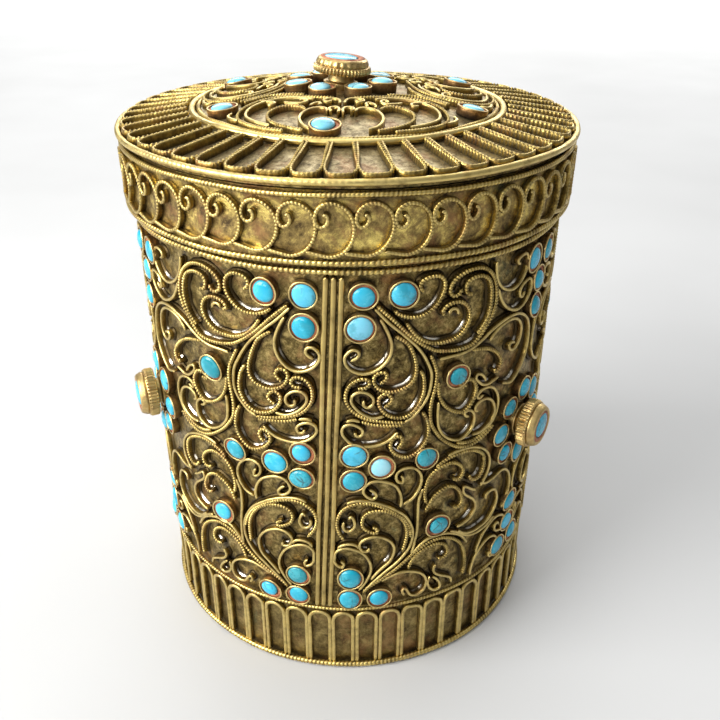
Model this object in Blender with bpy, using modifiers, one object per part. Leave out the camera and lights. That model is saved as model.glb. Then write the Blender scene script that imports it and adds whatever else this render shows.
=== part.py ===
"""A round, lidded filigree box set with turquoise cabochons.

The box is a sheet cylinder. Three filigree panels, three triple divider wires, three
raised bosses and a band of petals are soldered round it. The lid is a shallow dome with a
deep skirt, which lifts straight off the neck of the cylinder. Metres, +Z up. The origin is
the middle of the underside, and one divider faces -Y.
"""

import math

import bmesh
import bpy
from mathutils import Euler, Matrix, Vector

MM = 0.001
SIDES = 48
WIRE_SIDES = 4
GAP = 0.3 * MM
MERGE = 0.01 * MM
OBJECT_NAME = "filigree_box"

# The cylinder and its base
WALL_RADIUS = 33.4 * MM
SHEET = 0.8 * MM
BASE_RADIUS = 34.1 * MM
BASE_THICKNESS = 0.9 * MM
NECK_TOP = 86.0 * MM
SLEEVE_RADIUS = 35.0 * MM

# The filigree sleeve: its sheets, and the lean that it has all the way round
PANEL_COUNT = 3
PANEL_INNER = WALL_RADIUS + 0.35 * MM
PANEL_SHEET = 0.4 * MM
PANEL_OUTER = PANEL_INNER + PANEL_SHEET
PANEL_BOTTOM = 13.6 * MM
PANEL_TOP = 76.2 * MM
PANEL_COLUMNS = 24
SLEEVE_MIDDLE = 45.0 * MM
SLEEVE_LEAN = 0.0407
FRONT = math.radians(-90.0)
PANEL_ANGLE = 2.0 * math.pi / PANEL_COUNT
PANEL_NAMES = ("right", "back", "left")
DIVIDER_NAMES = ("front", "rear_right", "rear_left")

# Divider wires
DIVIDER_WIRE = 0.38 * MM
DIVIDER_PITCH = 1.13 * MM
DIVIDER_RADIUS = PANEL_OUTER + GAP + DIVIDER_WIRE
DIVIDER_BOTTOM = 14.7 * MM
DIVIDER_TOP = 74.9 * MM
DIVIDER_POINTS = 5

# Rope and plain rings: radius, height, wire radius, body
RINGS = {
    "foot_rope": (34.95 * MM, 0.75 * MM, 0.5 * MM, "box"),
    "petal_rope": (34.8 * MM, 14.0 * MM, 0.33 * MM, "box"),
    "lid_stop_rope": (35.0 * MM, 75.7 * MM, 0.5 * MM, "box"),
    "skirt_lower_rope": (36.1 * MM, 77.4 * MM, 0.45 * MM, "lid"),
    "skirt_upper_rope": (36.05 * MM, 86.5 * MM, 0.4 * MM, "lid"),
    "rim_wire": (36.4 * MM, 88.0 * MM, 0.45 * MM, "lid"),
    "rosette_border_wire": (24.8 * MM, 90.25 * MM, 0.5 * MM, "lid"),
    "rosette_border_rope": (23.75 * MM, 90.4 * MM, 0.35 * MM, "lid"),
}

# Fluted bands
FLUTE_DEPTH = 0.8 * MM
PETAL_COUNT = 54
PETAL_BOTTOM = 1.6 * MM
PETAL_TOP = 13.3 * MM
SCROLL_COUNT = 45
SCROLL_BOTTOM = 78.15 * MM
SCROLL_TOP = 85.8 * MM
SCROLL_INNER = 35.6 * MM
SCROLL_OUTER = 36.8 * MM
RAY_COUNT = 48
RAY_INNER = 25.6 * MM
RAY_OUTER = 35.4 * MM

# Lid shell
SKIRT_INNER = 34.6 * MM
SKIRT_OUTER = 35.3 * MM
SKIRT_BOTTOM = 76.55 * MM
SKIRT_TOP = 86.9 * MM
LID_SHEET = 0.6 * MM
LID_EDGE_RADIUS = 35.65 * MM
LID_EDGE_HEIGHT = 87.8 * MM
DOME_RADIUS = 24.8 * MM
DOME_EDGE_HEIGHT = 89.35 * MM
DOME_TOP = 92.1 * MM
DOME_STOPS = (0.0, 10.0 * MM, 17.0 * MM)
LID_TURN = math.radians(5.5)

# Rosette sheet on the lid
ROSETTE_INNER = 4.3 * MM
ROSETTE_OUTER = 22.8 * MM
ROSETTE_SHEET = 0.35 * MM

# Stones and their cups
CUP_SIDES = 8
CUP_RADIUS = 1.95 * MM
CUP_TOP = 35.3 * MM
CUP_SINK = 0.2 * MM
RING_CUP_HEIGHT = 1.5 * MM
OUTER_CUP_HEIGHT = 0.8 * MM
STONE_RADIUS = 1.7 * MM
STONE_HEIGHT = 0.5 * MM
RING_STONES = 8
RING_STONE_RADIUS = 6.9 * MM
OUTER_STONE_RADIUS = 21.1 * MM
OUTER_STONE_DEGREES = (-93.5, -25.0, 34.5, 95.5, 156.5, -146.0)

# Stones beside a divider, mirrored on its other side: (arc from the divider, height)
DIVIDER_STONES = (
    (4.1, 72.2), (9.7, 72.1), (3.9, 67.3),
    (3.9, 46.0), (3.9, 41.3), (8.3, 43.6), (15.3, 44.0),
    (4.3, 21.1), (4.4, 16.6), (9.3, 16.5),
    (19.4, 57.5), (18.6, 29.8),
)  # fmt: skip

# Stones on the line through a boss: (arc from the boss, height)
BOSS_LINE_STONES = (
    (-2.6, 72.2), (2.6, 72.2), (0.0, 68.2), (0.0, 63.6),
    (0.0, 26.2), (0.0, 21.6), (-2.5, 17.6), (2.5, 17.6),
)  # fmt: skip

# Where each panel's boss sits: (arc from the panel's middle, height)
BOSS_PLACES = {"right": (0.0, 42.7), "back": (0.5, 43.4), "left": (-1.8, 44.3)}
BOSS_RING = 6.1 * MM
BOSS_RING_STONES = 8

# Turned outlines of the bosses. A height is a distance from the axis of the box.
BOSS_MOUNT = (
    (0.0, 37.7), (4.15, 37.7), (4.15, 36.2), (2.2, 36.2),
    (2.2, 35.3), (2.8, 35.3), (2.8, 34.45), (0.0, 34.45),
)  # fmt: skip
BOSS_BEZEL = ((0.0, 38.4), (2.55, 38.4), (2.65, 39.1), (3.5, 39.1), (3.75, 38.0), (0.0, 38.0))
BOSS_STONE = ((0.0, 39.5), (1.5, 39.3), (2.2, 38.9), (2.2, 38.7), (0.0, 38.7))

# Turned outlines of the finial, which leans a little. A height is measured from its foot.
# The finial and the stones round it sit to the left of the lid's axis.
FINIAL_SHIFT = -1.2 * MM
FINIAL_FOOT = 92.65 * MM
FINIAL_LEAN = math.radians(5.0)
FINIAL_MOUNT = (
    (0.0, 3.4), (4.6, 3.4), (4.6, 2.5), (2.1, 2.5),
    (2.1, 1.1), (2.8, 1.1), (2.8, 0.0), (0.0, 0.0),
)  # fmt: skip
FINIAL_BEZEL = ((0.0, 4.1), (2.95, 4.1), (3.05, 4.7), (3.9, 4.7), (4.2, 3.7), (0.0, 3.7))
FINIAL_STONE = ((0.0, 5.15), (1.7, 5.0), (2.6, 4.65), (2.6, 4.4), (0.0, 4.4))
SMALL_SIDES = 16
STONE_SIDES = 8

# Material colours: base colour, roughness, metallic
BRASS_SHEET = ((0.20, 0.14, 0.06), 0.55, 1.0)
BRASS_WIRE = ((0.62, 0.44, 0.16), 0.35, 1.0)
TURQUOISE = ((0.08, 0.46, 0.60), 0.30, 0.0)


def clear_scene():
    for old in list(bpy.data.objects):
        bpy.data.objects.remove(old)


def new_collection(name):
    made = bpy.data.collections.new(name)
    bpy.context.scene.collection.children.link(made)
    return made


def new_empty(name, collection):
    made = bpy.data.objects.new(name, None)
    collection.objects.link(made)
    return made


def finish_of(name, finish):
    """A Principled material of the part's own."""
    colour, roughness, metallic = finish
    made = bpy.data.materials.new(name)
    made.use_nodes = True
    shader = made.node_tree.nodes["Principled BSDF"]
    shader.inputs["Base Color"].default_value = (*colour, 1.0)
    shader.inputs["Roughness"].default_value = roughness
    shader.inputs["Metallic"].default_value = metallic
    return made


def add_part(name, data, finish, body):
    """Links one named sub-part, with its own material, under its body's empty."""
    part = bpy.data.objects.new(name, data)
    data.materials.append(finish_of(name, finish))
    parts.objects.link(part)
    part.parent = bodies[body]
    return part


def add_modifier(part, kind, **settings):
    made = part.modifiers.new(kind.lower(), kind)
    for key, value in settings.items():
        setattr(made, key, value)
    return made


def turned(name, outline, finish, body, sides=SIDES):
    """Turns an outline of (radius, height) about Z. It runs down its outer side."""
    mesh = bpy.data.meshes.new(name)
    points = [(radius, 0.0, height) for radius, height in outline]
    edges = [(i, i + 1) for i in range(len(points) - 1)]
    if outline[0][0] > 0.0:
        edges.append((len(points) - 1, 0))
    mesh.from_pydata(points, edges, [])
    part = add_part(name, mesh, finish, body)
    add_modifier(
        part, "SCREW", steps=sides, render_steps=sides,
        use_merge_vertices=True, merge_threshold=MERGE,
    )  # fmt: skip
    return part


def small_turned(name, outline, finish, body, sides):
    """A small turned piece whose outline is written in millimetres."""
    scaled = [(radius * MM, height * MM) for radius, height in outline]
    return turned(name, scaled, finish, body, sides)


def sleeve_angle(panel_start, arc, height):
    """The angle of a point on the leaning sleeve, an arc away from a divider's middle."""
    lean = SLEEVE_LEAN * (height - SLEEVE_MIDDLE)
    return panel_start + (arc + lean) / SLEEVE_RADIUS


def outward(angle, height):
    """A frame on the axis at a height, with its Z pointing outward at an angle."""
    turn = Euler((0.0, math.pi / 2.0, angle)).to_matrix().to_4x4()
    return Matrix.Translation((0.0, 0.0, height)) @ turn


def dome_height(radius):
    """The lid's upper surface: a dome in the middle and a cone round it."""
    if radius <= DOME_RADIUS:
        drop = DOME_TOP - DOME_EDGE_HEIGHT
        return DOME_TOP - drop * (radius / DOME_RADIUS) ** 2
    share = (radius - DOME_RADIUS) / (LID_EDGE_RADIUS - DOME_RADIUS)
    return DOME_EDGE_HEIGHT + (LID_EDGE_HEIGHT - DOME_EDGE_HEIGHT) * share


def make_ring(name):
    radius, height, wire, body = RINGS[name]
    bpy.ops.mesh.primitive_torus_add(
        major_segments=SIDES, minor_segments=WIRE_SIDES, major_radius=radius, minor_radius=wire
    )
    made = bpy.context.object
    part = add_part(name, made.data, BRASS_WIRE, body)
    part.location.z = height
    bpy.data.objects.remove(made)


def make_wall():
    inner = WALL_RADIUS - SHEET
    bottom = BASE_THICKNESS + GAP
    outline = [(WALL_RADIUS, NECK_TOP), (WALL_RADIUS, bottom), (inner, bottom), (inner, NECK_TOP)]
    turned("wall", outline, BRASS_SHEET, "box")


def make_base_plate():
    outline = [(0.0, BASE_THICKNESS), (BASE_RADIUS, BASE_THICKNESS), (BASE_RADIUS, 0.0), (0.0, 0.0)]
    turned("base_plate", outline, BRASS_SHEET, "box")


def fluted_ring(name, count, sections, body):
    """A ring whose sections change between rib and valley, 'count' times round.

    A section is (radius on a rib, height on a rib, radius in a valley, height in a valley).
    """
    mesh = bpy.data.meshes.new(name)
    grid = bmesh.new()
    points_round = 2 * count
    rows = []
    for rib_radius, rib_height, valley_radius, valley_height in sections:
        row = []
        for i in range(points_round):
            angle = math.pi * i / count
            on_rib = i % 2 == 0
            radius = rib_radius if on_rib else valley_radius
            height = rib_height if on_rib else valley_height
            point = (radius * math.cos(angle), radius * math.sin(angle), height)
            row.append(grid.verts.new(point))
        rows.append(row)
    for upper, lower in zip(rows, rows[1:] + rows[:1]):
        for i in range(points_round):
            j = (i + 1) % points_round
            grid.faces.new((upper[i], lower[i], lower[j], upper[j]))
    grid.to_mesh(mesh)
    grid.free()
    return add_part(name, mesh, BRASS_WIRE, body)


def make_petal_band():
    valley = SLEEVE_RADIUS - FLUTE_DEPTH
    sections = [
        (SLEEVE_RADIUS, PETAL_TOP, valley, PETAL_TOP),
        (SLEEVE_RADIUS, PETAL_BOTTOM, valley, PETAL_BOTTOM),
        (PANEL_INNER, PETAL_BOTTOM, PANEL_INNER, PETAL_BOTTOM),
        (PANEL_INNER, PETAL_TOP, PANEL_INNER, PETAL_TOP),
    ]
    fluted_ring("petal_band", PETAL_COUNT, sections, "box")


def make_scroll_band():
    valley = SCROLL_OUTER - FLUTE_DEPTH
    sections = [
        (SCROLL_OUTER, SCROLL_TOP, valley, SCROLL_TOP),
        (SCROLL_OUTER, SCROLL_BOTTOM, valley, SCROLL_BOTTOM),
        (SCROLL_INNER, SCROLL_BOTTOM, SCROLL_INNER, SCROLL_BOTTOM),
        (SCROLL_INNER, SCROLL_TOP, SCROLL_INNER, SCROLL_TOP),
    ]
    fluted_ring("scroll_band", SCROLL_COUNT, sections, "lid")


def make_ray_band():
    inner = dome_height(RAY_INNER) + GAP
    outer = dome_height(RAY_OUTER) + GAP
    rib = ROSETTE_SHEET + FLUTE_DEPTH
    sections = [
        (RAY_INNER, inner + rib, RAY_INNER, inner + ROSETTE_SHEET),
        (RAY_OUTER, outer + rib, RAY_OUTER, outer + ROSETTE_SHEET),
        (RAY_OUTER, outer, RAY_OUTER, outer),
        (RAY_INNER, inner, RAY_INNER, inner),
    ]
    fluted_ring("ray_band", RAY_COUNT, sections, "lid")


def make_divider(name, start):
    """Three plain wires side by side, which lean with the sleeve."""
    for number in (1, 2, 3):
        arc = (number - 2) * DIVIDER_PITCH
        curve = bpy.data.curves.new(f"{name}_{number}", "CURVE")
        curve.dimensions = "3D"
        curve.bevel_depth = DIVIDER_WIRE
        curve.bevel_resolution = 0
        curve.use_fill_caps = True
        spline = curve.splines.new("POLY")
        spline.points.add(DIVIDER_POINTS - 1)
        for i, point in enumerate(spline.points):
            share = i / (DIVIDER_POINTS - 1)
            height = DIVIDER_BOTTOM + (DIVIDER_TOP - DIVIDER_BOTTOM) * share
            angle = sleeve_angle(start, arc, height)
            point.co = (
                DIVIDER_RADIUS * math.cos(angle), DIVIDER_RADIUS * math.sin(angle), height, 1.0
            )  # fmt: skip
        add_part(curve.name, curve, BRASS_WIRE, "box")


def boss_place(side):
    """A boss's place on its panel: (arc from the panel's first divider, height)."""
    shift, height = BOSS_PLACES[side]
    return PANEL_ANGLE * SLEEVE_RADIUS / 2.0 + shift * MM, height * MM


def panel_stones(side, start):
    """Frames for a panel's stones, each on the axis with its Z pointing out."""
    width = PANEL_ANGLE * SLEEVE_RADIUS
    boss_arc, boss_height = boss_place(side)
    places = []
    for arc, height in DIVIDER_STONES:
        places.append((arc * MM, height * MM))
        places.append((width - arc * MM, height * MM))
    for arc, height in BOSS_LINE_STONES:
        places.append((width / 2.0 + arc * MM, height * MM))
    for i in range(BOSS_RING_STONES):
        turn = 2.0 * math.pi * i / BOSS_RING_STONES
        arc = boss_arc + BOSS_RING * math.sin(turn)
        places.append((arc, boss_height + BOSS_RING * math.cos(turn)))
    return [outward(sleeve_angle(start, arc, height), height) for arc, height in places]


def add_cups(name, frames, low, high):
    """One cutter mesh of round cups. Each stands along its frame's Z from low to high."""
    shapes = bmesh.new()
    for frame in frames:
        made = bmesh.ops.create_cone(
            shapes, cap_ends=True, segments=CUP_SIDES,
            radius1=CUP_RADIUS, radius2=CUP_RADIUS, depth=high - low,
        )  # fmt: skip
        middle = Matrix.Translation((0.0, 0.0, (low + high) / 2.0))
        bmesh.ops.transform(shapes, matrix=frame @ middle, verts=made["verts"])
    mesh = bpy.data.meshes.new(name)
    shapes.to_mesh(mesh)
    shapes.free()
    cups = bpy.data.objects.new(name, mesh)
    cups.hide_render = True
    cups.display_type = "WIRE"
    cutters.objects.link(cups)
    return cups


def make_panel(side, start):
    """A curved, leaning sheet between two dividers, joined with its stones' cups."""
    name = f"filigree_panel_{side}"
    sheet = bmesh.new()
    bmesh.ops.create_grid(sheet, x_segments=PANEL_COLUMNS, y_segments=1, size=1.0)
    width = PANEL_ANGLE * SLEEVE_RADIUS
    for vert in sheet.verts:
        height = PANEL_BOTTOM + (PANEL_TOP - PANEL_BOTTOM) * (vert.co.y + 1.0) / 2.0
        arc = GAP / 2.0 + (width - GAP) * (vert.co.x + 1.0) / 2.0
        angle = sleeve_angle(start, arc, height)
        vert.co = (PANEL_INNER * math.cos(angle), PANEL_INNER * math.sin(angle), height)
    mesh = bpy.data.meshes.new(name)
    sheet.to_mesh(mesh)
    sheet.free()
    part = add_part(name, mesh, BRASS_WIRE, "box")
    add_modifier(part, "SOLIDIFY", thickness=PANEL_SHEET, offset=1.0)
    frames = panel_stones(side, start)
    cups = add_cups(f"{name}_cups", frames, PANEL_OUTER - CUP_SINK, CUP_TOP)
    add_modifier(part, "BOOLEAN", operation="UNION", solver="EXACT", object=cups)


def make_boss(side, start):
    """A stone in a bezel, on a milled disc whose neck stands on the panel."""
    arc, height = boss_place(side)
    angle = sleeve_angle(start, arc, height)
    pieces = [
        small_turned(f"boss_mount_{side}", BOSS_MOUNT, BRASS_WIRE, "box", SMALL_SIDES),
        small_turned(f"boss_bezel_{side}", BOSS_BEZEL, BRASS_WIRE, "box", SMALL_SIDES),
        small_turned(f"boss_stone_{side}", BOSS_STONE, TURQUOISE, "box", STONE_SIDES),
    ]
    for piece in pieces:
        piece.matrix_local = outward(angle, height)


def make_lid_skirt():
    outline = [
        (SKIRT_OUTER, SKIRT_TOP), (SKIRT_OUTER, SKIRT_BOTTOM),
        (SKIRT_INNER, SKIRT_BOTTOM), (SKIRT_INNER, SKIRT_TOP),
    ]  # fmt: skip
    turned("lid_skirt", outline, BRASS_SHEET, "lid")


def make_lid_top():
    upper = [(radius, dome_height(radius)) for radius in DOME_STOPS]
    upper += [(DOME_RADIUS, DOME_EDGE_HEIGHT), (LID_EDGE_RADIUS, LID_EDGE_HEIGHT)]
    lower = [(radius, height - LID_SHEET) for radius, height in reversed(upper)]
    turned("lid_top", upper + lower, BRASS_SHEET, "lid")


def on_rosette(radius, angle):
    """A frame on the rosette sheet, with its Z along the dome's normal."""
    slope = 2.0 * (DOME_TOP - DOME_EDGE_HEIGHT) * radius / DOME_RADIUS**2
    height = dome_height(radius) + GAP + ROSETTE_SHEET
    place = Vector((radius * math.cos(angle), radius * math.sin(angle), height))
    tilt = Euler((0.0, math.atan(slope), angle)).to_matrix().to_4x4()
    return Matrix.Translation(place) @ tilt


def ring_stone_frames():
    """Names and frames of the stones round the finial."""
    frames = {}
    for i in range(RING_STONES):
        angle = FRONT + LID_TURN + 2.0 * math.pi * (i + 0.5) / RING_STONES
        x = RING_STONE_RADIUS * math.cos(angle) + FINIAL_SHIFT
        y = RING_STONE_RADIUS * math.sin(angle)
        frame = on_rosette(math.hypot(x, y), math.atan2(y, x))
        frames[f"lid_ring_stone_{i + 1}"] = frame
    return frames


def outer_stone_frames():
    """Names and frames of the stones near the rosette's border."""
    frames = {}
    for number, degrees in enumerate(OUTER_STONE_DEGREES, 1):
        frame = on_rosette(OUTER_STONE_RADIUS, math.radians(degrees))
        frames[f"lid_outer_stone_{number}"] = frame
    return frames


def lid_stone_groups():
    """The lid's two groups of stones, each with the height of its cups."""
    return (ring_stone_frames(), RING_CUP_HEIGHT), (outer_stone_frames(), OUTER_CUP_HEIGHT)


def make_rosette():
    stops = [ROSETTE_INNER, *DOME_STOPS[1:], ROSETTE_OUTER]
    lower = [(radius, dome_height(radius) + GAP) for radius in stops]
    upper = [(radius, height + ROSETTE_SHEET) for radius, height in lower]
    part = turned("rosette_sheet", upper + lower[::-1], BRASS_WIRE, "lid")
    for number, (frames, cup_height) in enumerate(lid_stone_groups(), 1):
        cups = add_cups(f"rosette_cups_{number}", frames.values(), -CUP_SINK, cup_height)
        add_modifier(part, "BOOLEAN", operation="UNION", solver="EXACT", object=cups)


def make_lid_stones():
    outline = (
        (0.0, STONE_HEIGHT), (STONE_RADIUS * 0.7, STONE_HEIGHT * 0.8),
        (STONE_RADIUS, 0.0), (0.0, 0.0),
    )  # fmt: skip
    for frames, cup_height in lid_stone_groups():
        seat = Matrix.Translation((0.0, 0.0, cup_height + GAP))
        for name, frame in frames.items():
            stone = turned(name, outline, TURQUOISE, "lid", STONE_SIDES)
            stone.matrix_local = frame @ seat


def make_finial():
    """A stone in a bezel, on a milled disc whose post stands near the middle of the lid."""
    pieces = [
        small_turned("finial_mount", FINIAL_MOUNT, BRASS_WIRE, "lid", SMALL_SIDES),
        small_turned("finial_bezel", FINIAL_BEZEL, BRASS_WIRE, "lid", SMALL_SIDES),
        small_turned("finial_stone", FINIAL_STONE, TURQUOISE, "lid", STONE_SIDES),
    ]
    for piece in pieces:
        piece.location = (FINIAL_SHIFT, 0.0, FINIAL_FOOT)
        piece.rotation_euler.y = FINIAL_LEAN


clear_scene()
parts = new_collection(OBJECT_NAME)
cutters = new_collection("cutters")
bodies = {name: new_empty(name, parts) for name in ("box", "lid")}

make_base_plate()
make_wall()
make_petal_band()
for ring in RINGS:
    make_ring(ring)
for index in range(PANEL_COUNT):
    start_angle = FRONT + index * PANEL_ANGLE
    make_divider(f"divider_{DIVIDER_NAMES[index]}_wire", start_angle)
    make_panel(PANEL_NAMES[index], start_angle)
    make_boss(PANEL_NAMES[index], start_angle)
make_lid_skirt()
make_lid_top()
make_scroll_band()
make_ray_band()
make_rosette()
make_lid_stones()
make_finial()
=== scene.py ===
"""The looks of a round, lidded filigree box set with turquoise cabochons.

Every piece is made in millimetres and scaled to metres when its mesh is written. Wires are
flat strips that stand on edge on a sheet. A path is drawn on the flat pattern of its sheet,
and a 'lay' function then bends the pattern round the sleeve, skirt or dome.
"""

import math

import bmesh
import bpy
import numpy as np
from mathutils import Matrix, Vector


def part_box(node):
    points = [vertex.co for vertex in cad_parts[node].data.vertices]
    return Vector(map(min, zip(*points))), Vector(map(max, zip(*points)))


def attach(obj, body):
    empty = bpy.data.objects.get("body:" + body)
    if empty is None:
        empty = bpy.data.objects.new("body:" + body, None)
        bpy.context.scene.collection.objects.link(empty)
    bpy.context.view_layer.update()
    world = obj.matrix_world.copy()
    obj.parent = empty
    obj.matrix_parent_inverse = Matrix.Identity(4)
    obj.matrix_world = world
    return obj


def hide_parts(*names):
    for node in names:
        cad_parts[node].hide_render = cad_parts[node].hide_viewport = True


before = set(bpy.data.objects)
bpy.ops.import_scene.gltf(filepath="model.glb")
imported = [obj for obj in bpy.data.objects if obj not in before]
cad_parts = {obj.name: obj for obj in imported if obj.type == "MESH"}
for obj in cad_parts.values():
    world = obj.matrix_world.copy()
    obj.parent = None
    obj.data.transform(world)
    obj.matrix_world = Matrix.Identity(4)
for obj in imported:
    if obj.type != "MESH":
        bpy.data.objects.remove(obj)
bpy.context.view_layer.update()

MM = 0.001
TURN = 2.0 * math.pi
rng = np.random.default_rng(20)


def box_mm(node):
    """A node's lowest and highest corners, in millimetres."""
    low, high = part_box(node)
    return np.array(low) / MM, np.array(high) / MM


def ring_of(node):
    """The radius, height and wire radius of a ring-shaped node."""
    low, high = box_mm(node)
    wire = (high[2] - low[2]) / 2.0
    return high[0] - wire, (high[2] + low[2]) / 2.0, wire


def round_turns(count):
    """Evenly spaced angles round a full turn."""
    return np.arange(count) / count * TURN


def polar(radius, angle, height):
    """Points from radii, angles and heights, broadcast against each other."""
    x, y = radius * np.cos(angle), radius * np.sin(angle)
    return np.stack(np.broadcast_arrays(x, y, height), -1)


# The sleeve: its pattern runs round from a divider, and leans with height
SLEEVE = 35.0
LEAN = 0.0407
LEAN_MIDDLE = 45.0
SHEET = 34.15
PANELS = ("right", "back", "left")
DIVIDERS = ("front", "rear_right", "rear_left")
FRONT = math.radians(-90.0)
THIRD = TURN / 3.0
PANEL_WIDTH = THIRD * SLEEVE
PANEL_LOW = box_mm("filigree_panel_right")[0][2]
PANEL_HIGH = box_mm("filigree_panel_right")[1][2]
BOSS_RING = 6.1
BOSS_RING_STONES = 8

# The lid: a dome inside a cone
LID_TURN = math.radians(5.5)
LID_HIGH = box_mm("lid_top")[1][2]
DOME_RADIUS = 24.8
DOME_DROP = 2.75
CONE_RADIUS = 35.65
CONE_DROP = 1.55
LID_SHEET = 0.6
ROSETTE_LIFT = 0.65

# Wires that stand on edge: (half width, height above the sheet), and steps along them
PLAIN = (0.25, 1.15)
BEADED = (0.33, 1.25)
BEAD_PITCH = 0.48
BEAD_SLANT = 0.15
STEP = 0.22


# ==== Meshes ====


def link_in(thing):
    """Puts an object in the scene."""
    bpy.context.scene.collection.objects.link(thing)


class Shape:
    """The points, faces, tint, and wear and painted light of one piece, gathered grid by grid."""

    def __init__(self):
        self.points, self.wear, self.tint, self.faces = [], [], [], []
        self.count = 0

    def add(self, grid, wear=1.0, tint=0.0, loop=False, tube=False, flip=False):
        """Adds a grid (rows, columns, 3). loop joins its last row to its first, tube its columns."""
        rows, columns = grid.shape[:2]
        index = np.arange(rows * columns).reshape(rows, columns) + self.count
        if loop:
            index = np.vstack((index, index[:1]))
        if tube:
            index = np.hstack((index, index[:, :1]))
        corners = (index[:-1, :-1], index[1:, :-1], index[1:, 1:], index[:-1, 1:])
        faces = np.stack(corners[::-1] if flip else corners, axis=-1)
        self.faces.append(faces.reshape(-1, 4))
        self.points.append(grid.reshape(-1, 3))
        size = rows * columns
        self.wear.append(np.broadcast_to(wear, (rows, columns)).reshape(size))
        self.tint.append(np.full(size, tint))
        self.count += size


def make_piece(name, shape, material, body, nodes=(), weld=False, crease=None):
    """Writes a shape's mesh, puts it under its body's empty and hides the CAD nodes that it replaces."""
    mesh = bpy.data.meshes.new(name)
    points = np.concatenate(shape.points) * MM
    faces = np.concatenate(shape.faces)
    mesh.from_pydata(points.tolist(), [], faces.tolist())
    # wear: high on worn tops, low where grime and painted shade darken the brass, and on solder high where
    # a highlight is painted
    for label, values in (("wear", shape.wear), ("tint", shape.tint)):
        layer = mesh.attributes.new(label, "FLOAT", "POINT")
        layer.data.foreach_set("value", np.concatenate(values).astype(np.float32))
    if weld:
        grid = bmesh.new()
        grid.from_mesh(mesh)
        bmesh.ops.remove_doubles(grid, verts=grid.verts, dist=0.002 * MM)
        grid.to_mesh(mesh)
        grid.free()
    mesh.shade_smooth()
    if crease is not None:
        mesh.set_sharp_from_angle(angle=math.radians(crease))
    mesh.materials.append(material)
    piece = bpy.data.objects.new(name, mesh)
    link_in(piece)
    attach(piece, body)
    if nodes:
        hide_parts(*nodes)


def smooth_path(points, step=STEP):
    """Evenly spaced points on a smooth curve through given points."""
    knots = np.array(points, float)
    first, last = 2 * knots[0] - knots[1], 2 * knots[-1] - knots[-2]
    padded = np.vstack((first, knots, last))
    share = np.linspace(0.0, 1.0, 16, endpoint=False)[:, None]
    runs = []
    for a, b, c, d in zip(padded, padded[1:], padded[2:], padded[3:]):
        ta = math.sqrt(math.dist(a, b)) + 1e-6
        tb = math.sqrt(math.dist(b, c)) + 1e-6
        tc = math.sqrt(math.dist(c, d)) + 1e-6
        leave = tb * ((b - a) / ta - (c - a) / (ta + tb)) + (c - b)
        arrive = tb * ((d - c) / tc - (d - b) / (tb + tc)) + (c - b)
        cube, square = share**3, share**2
        runs.append(
            (2 * cube - 3 * square + 1) * b + (cube - 2 * square + share) * leave
            + (3 * square - 2 * cube) * c + (cube - square) * arrive
        )
    fine = np.vstack((*runs, knots[-1:]))
    lengths = np.concatenate(([0.0], np.cumsum(np.hypot(*np.diff(fine, axis=0).T))))
    places = np.linspace(0.0, lengths[-1], max(4, round(lengths[-1] / step) + 1))
    return np.stack([np.interp(places, lengths, fine[:, i]) for i in (0, 1)], -1), places


# A strip's section, from one foot over its top to the other foot
SECTION_ACROSS = np.array((-1.0, -1.0, -0.74, 0.0, 0.74, 1.0, 1.0))
SECTION_UP = np.array((-0.1, 0.78, 0.95, 1.0, 0.95, 0.78, -0.1))
# A strip's top is worn gold; its feet are dark, partly grime and partly painted shade where it meets the
# sheet
SECTION_WEAR_AND_SHADE = np.array((0.1, 0.62, 0.9, 1.0, 0.9, 0.62, 0.1))
ON_TOP = (SECTION_UP > 0.5).astype(float)
BEAD_NECK = 0.24
BEAD_DIP = 0.11
# Bead necks lose the worn gold and darken: partly grime, partly painted shade in the grooves
BEAD_GRIME_AND_SHADE = 0.5
END_TAPER = 0.25


def path_frame(points, step):
    """A smooth path's points, their distances along it, and the directions ahead and to the left."""
    path, along = smooth_path(points, step)
    ahead = np.gradient(path, axis=0)
    ahead /= np.hypot(*ahead.T)[:, None] + 1e-9
    return path, along, ahead, np.stack((-ahead[:, 1], ahead[:, 0]), -1)


def add_strip(shape, points, lay, size=PLAIN, beads=0.0, pitch=BEAD_PITCH, flip=False):
    """Sweeps a strip on edge along a drawn path.

    beads is 0 for a plain strip and 1 for a beaded one, or (shares of the length, depths).
    """
    plain = np.isscalar(beads) and beads == 0.0
    path, along, _, side = path_frame(points, STEP if plain else pitch / 6.0)
    half, height = size
    depth = beads if np.isscalar(beads) else np.interp(along / along[-1], *beads)[:, None]
    phase = along[:, None] / pitch + BEAD_SLANT * 0.5 * SECTION_ACROSS
    bead = 0.5 + 0.5 * np.cos(TURN * phase)
    spread = 1.0 - depth * ON_TOP * BEAD_NECK * (1.0 - bead)
    ends = np.minimum(along, along[-1] - along)
    taper = np.sqrt(np.clip(ends / END_TAPER, 0.0, 1.0))[:, None]
    across = half * SECTION_ACROSS * spread * taper
    up = height * SECTION_UP * (1.0 - depth * ON_TOP * BEAD_DIP * (1.0 - bead))
    wear = SECTION_WEAR_AND_SHADE * (1.0 - BEAD_GRIME_AND_SHADE * depth * ON_TOP * (1.0 - bead))
    plan = path[:, None, :] + side[:, None, :] * across[..., None]
    shape.add(lay(plan[..., 0], plan[..., 1], up), wear, tube=True, flip=flip)


# The section of the solder at a strip's foot
FOOT_SIDE = np.array((-1.0, -1.0, -1.0, 1.0, 1.0, 1.0))
FOOT_FLARE = np.array((0.36, 0.13, 0.0, 0.0, 0.13, 0.36))
FOOT_UP = np.array((-0.04, 0.10, 0.40, 0.40, 0.10, -0.04))
# How much of the painted highlight each point of the foot's section takes
FOOT_PAINTED_GLINT = np.array((0.2, 1.0, 0.8, 0.8, 1.0, 0.2))
FOOT_STEP = 0.3


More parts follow.
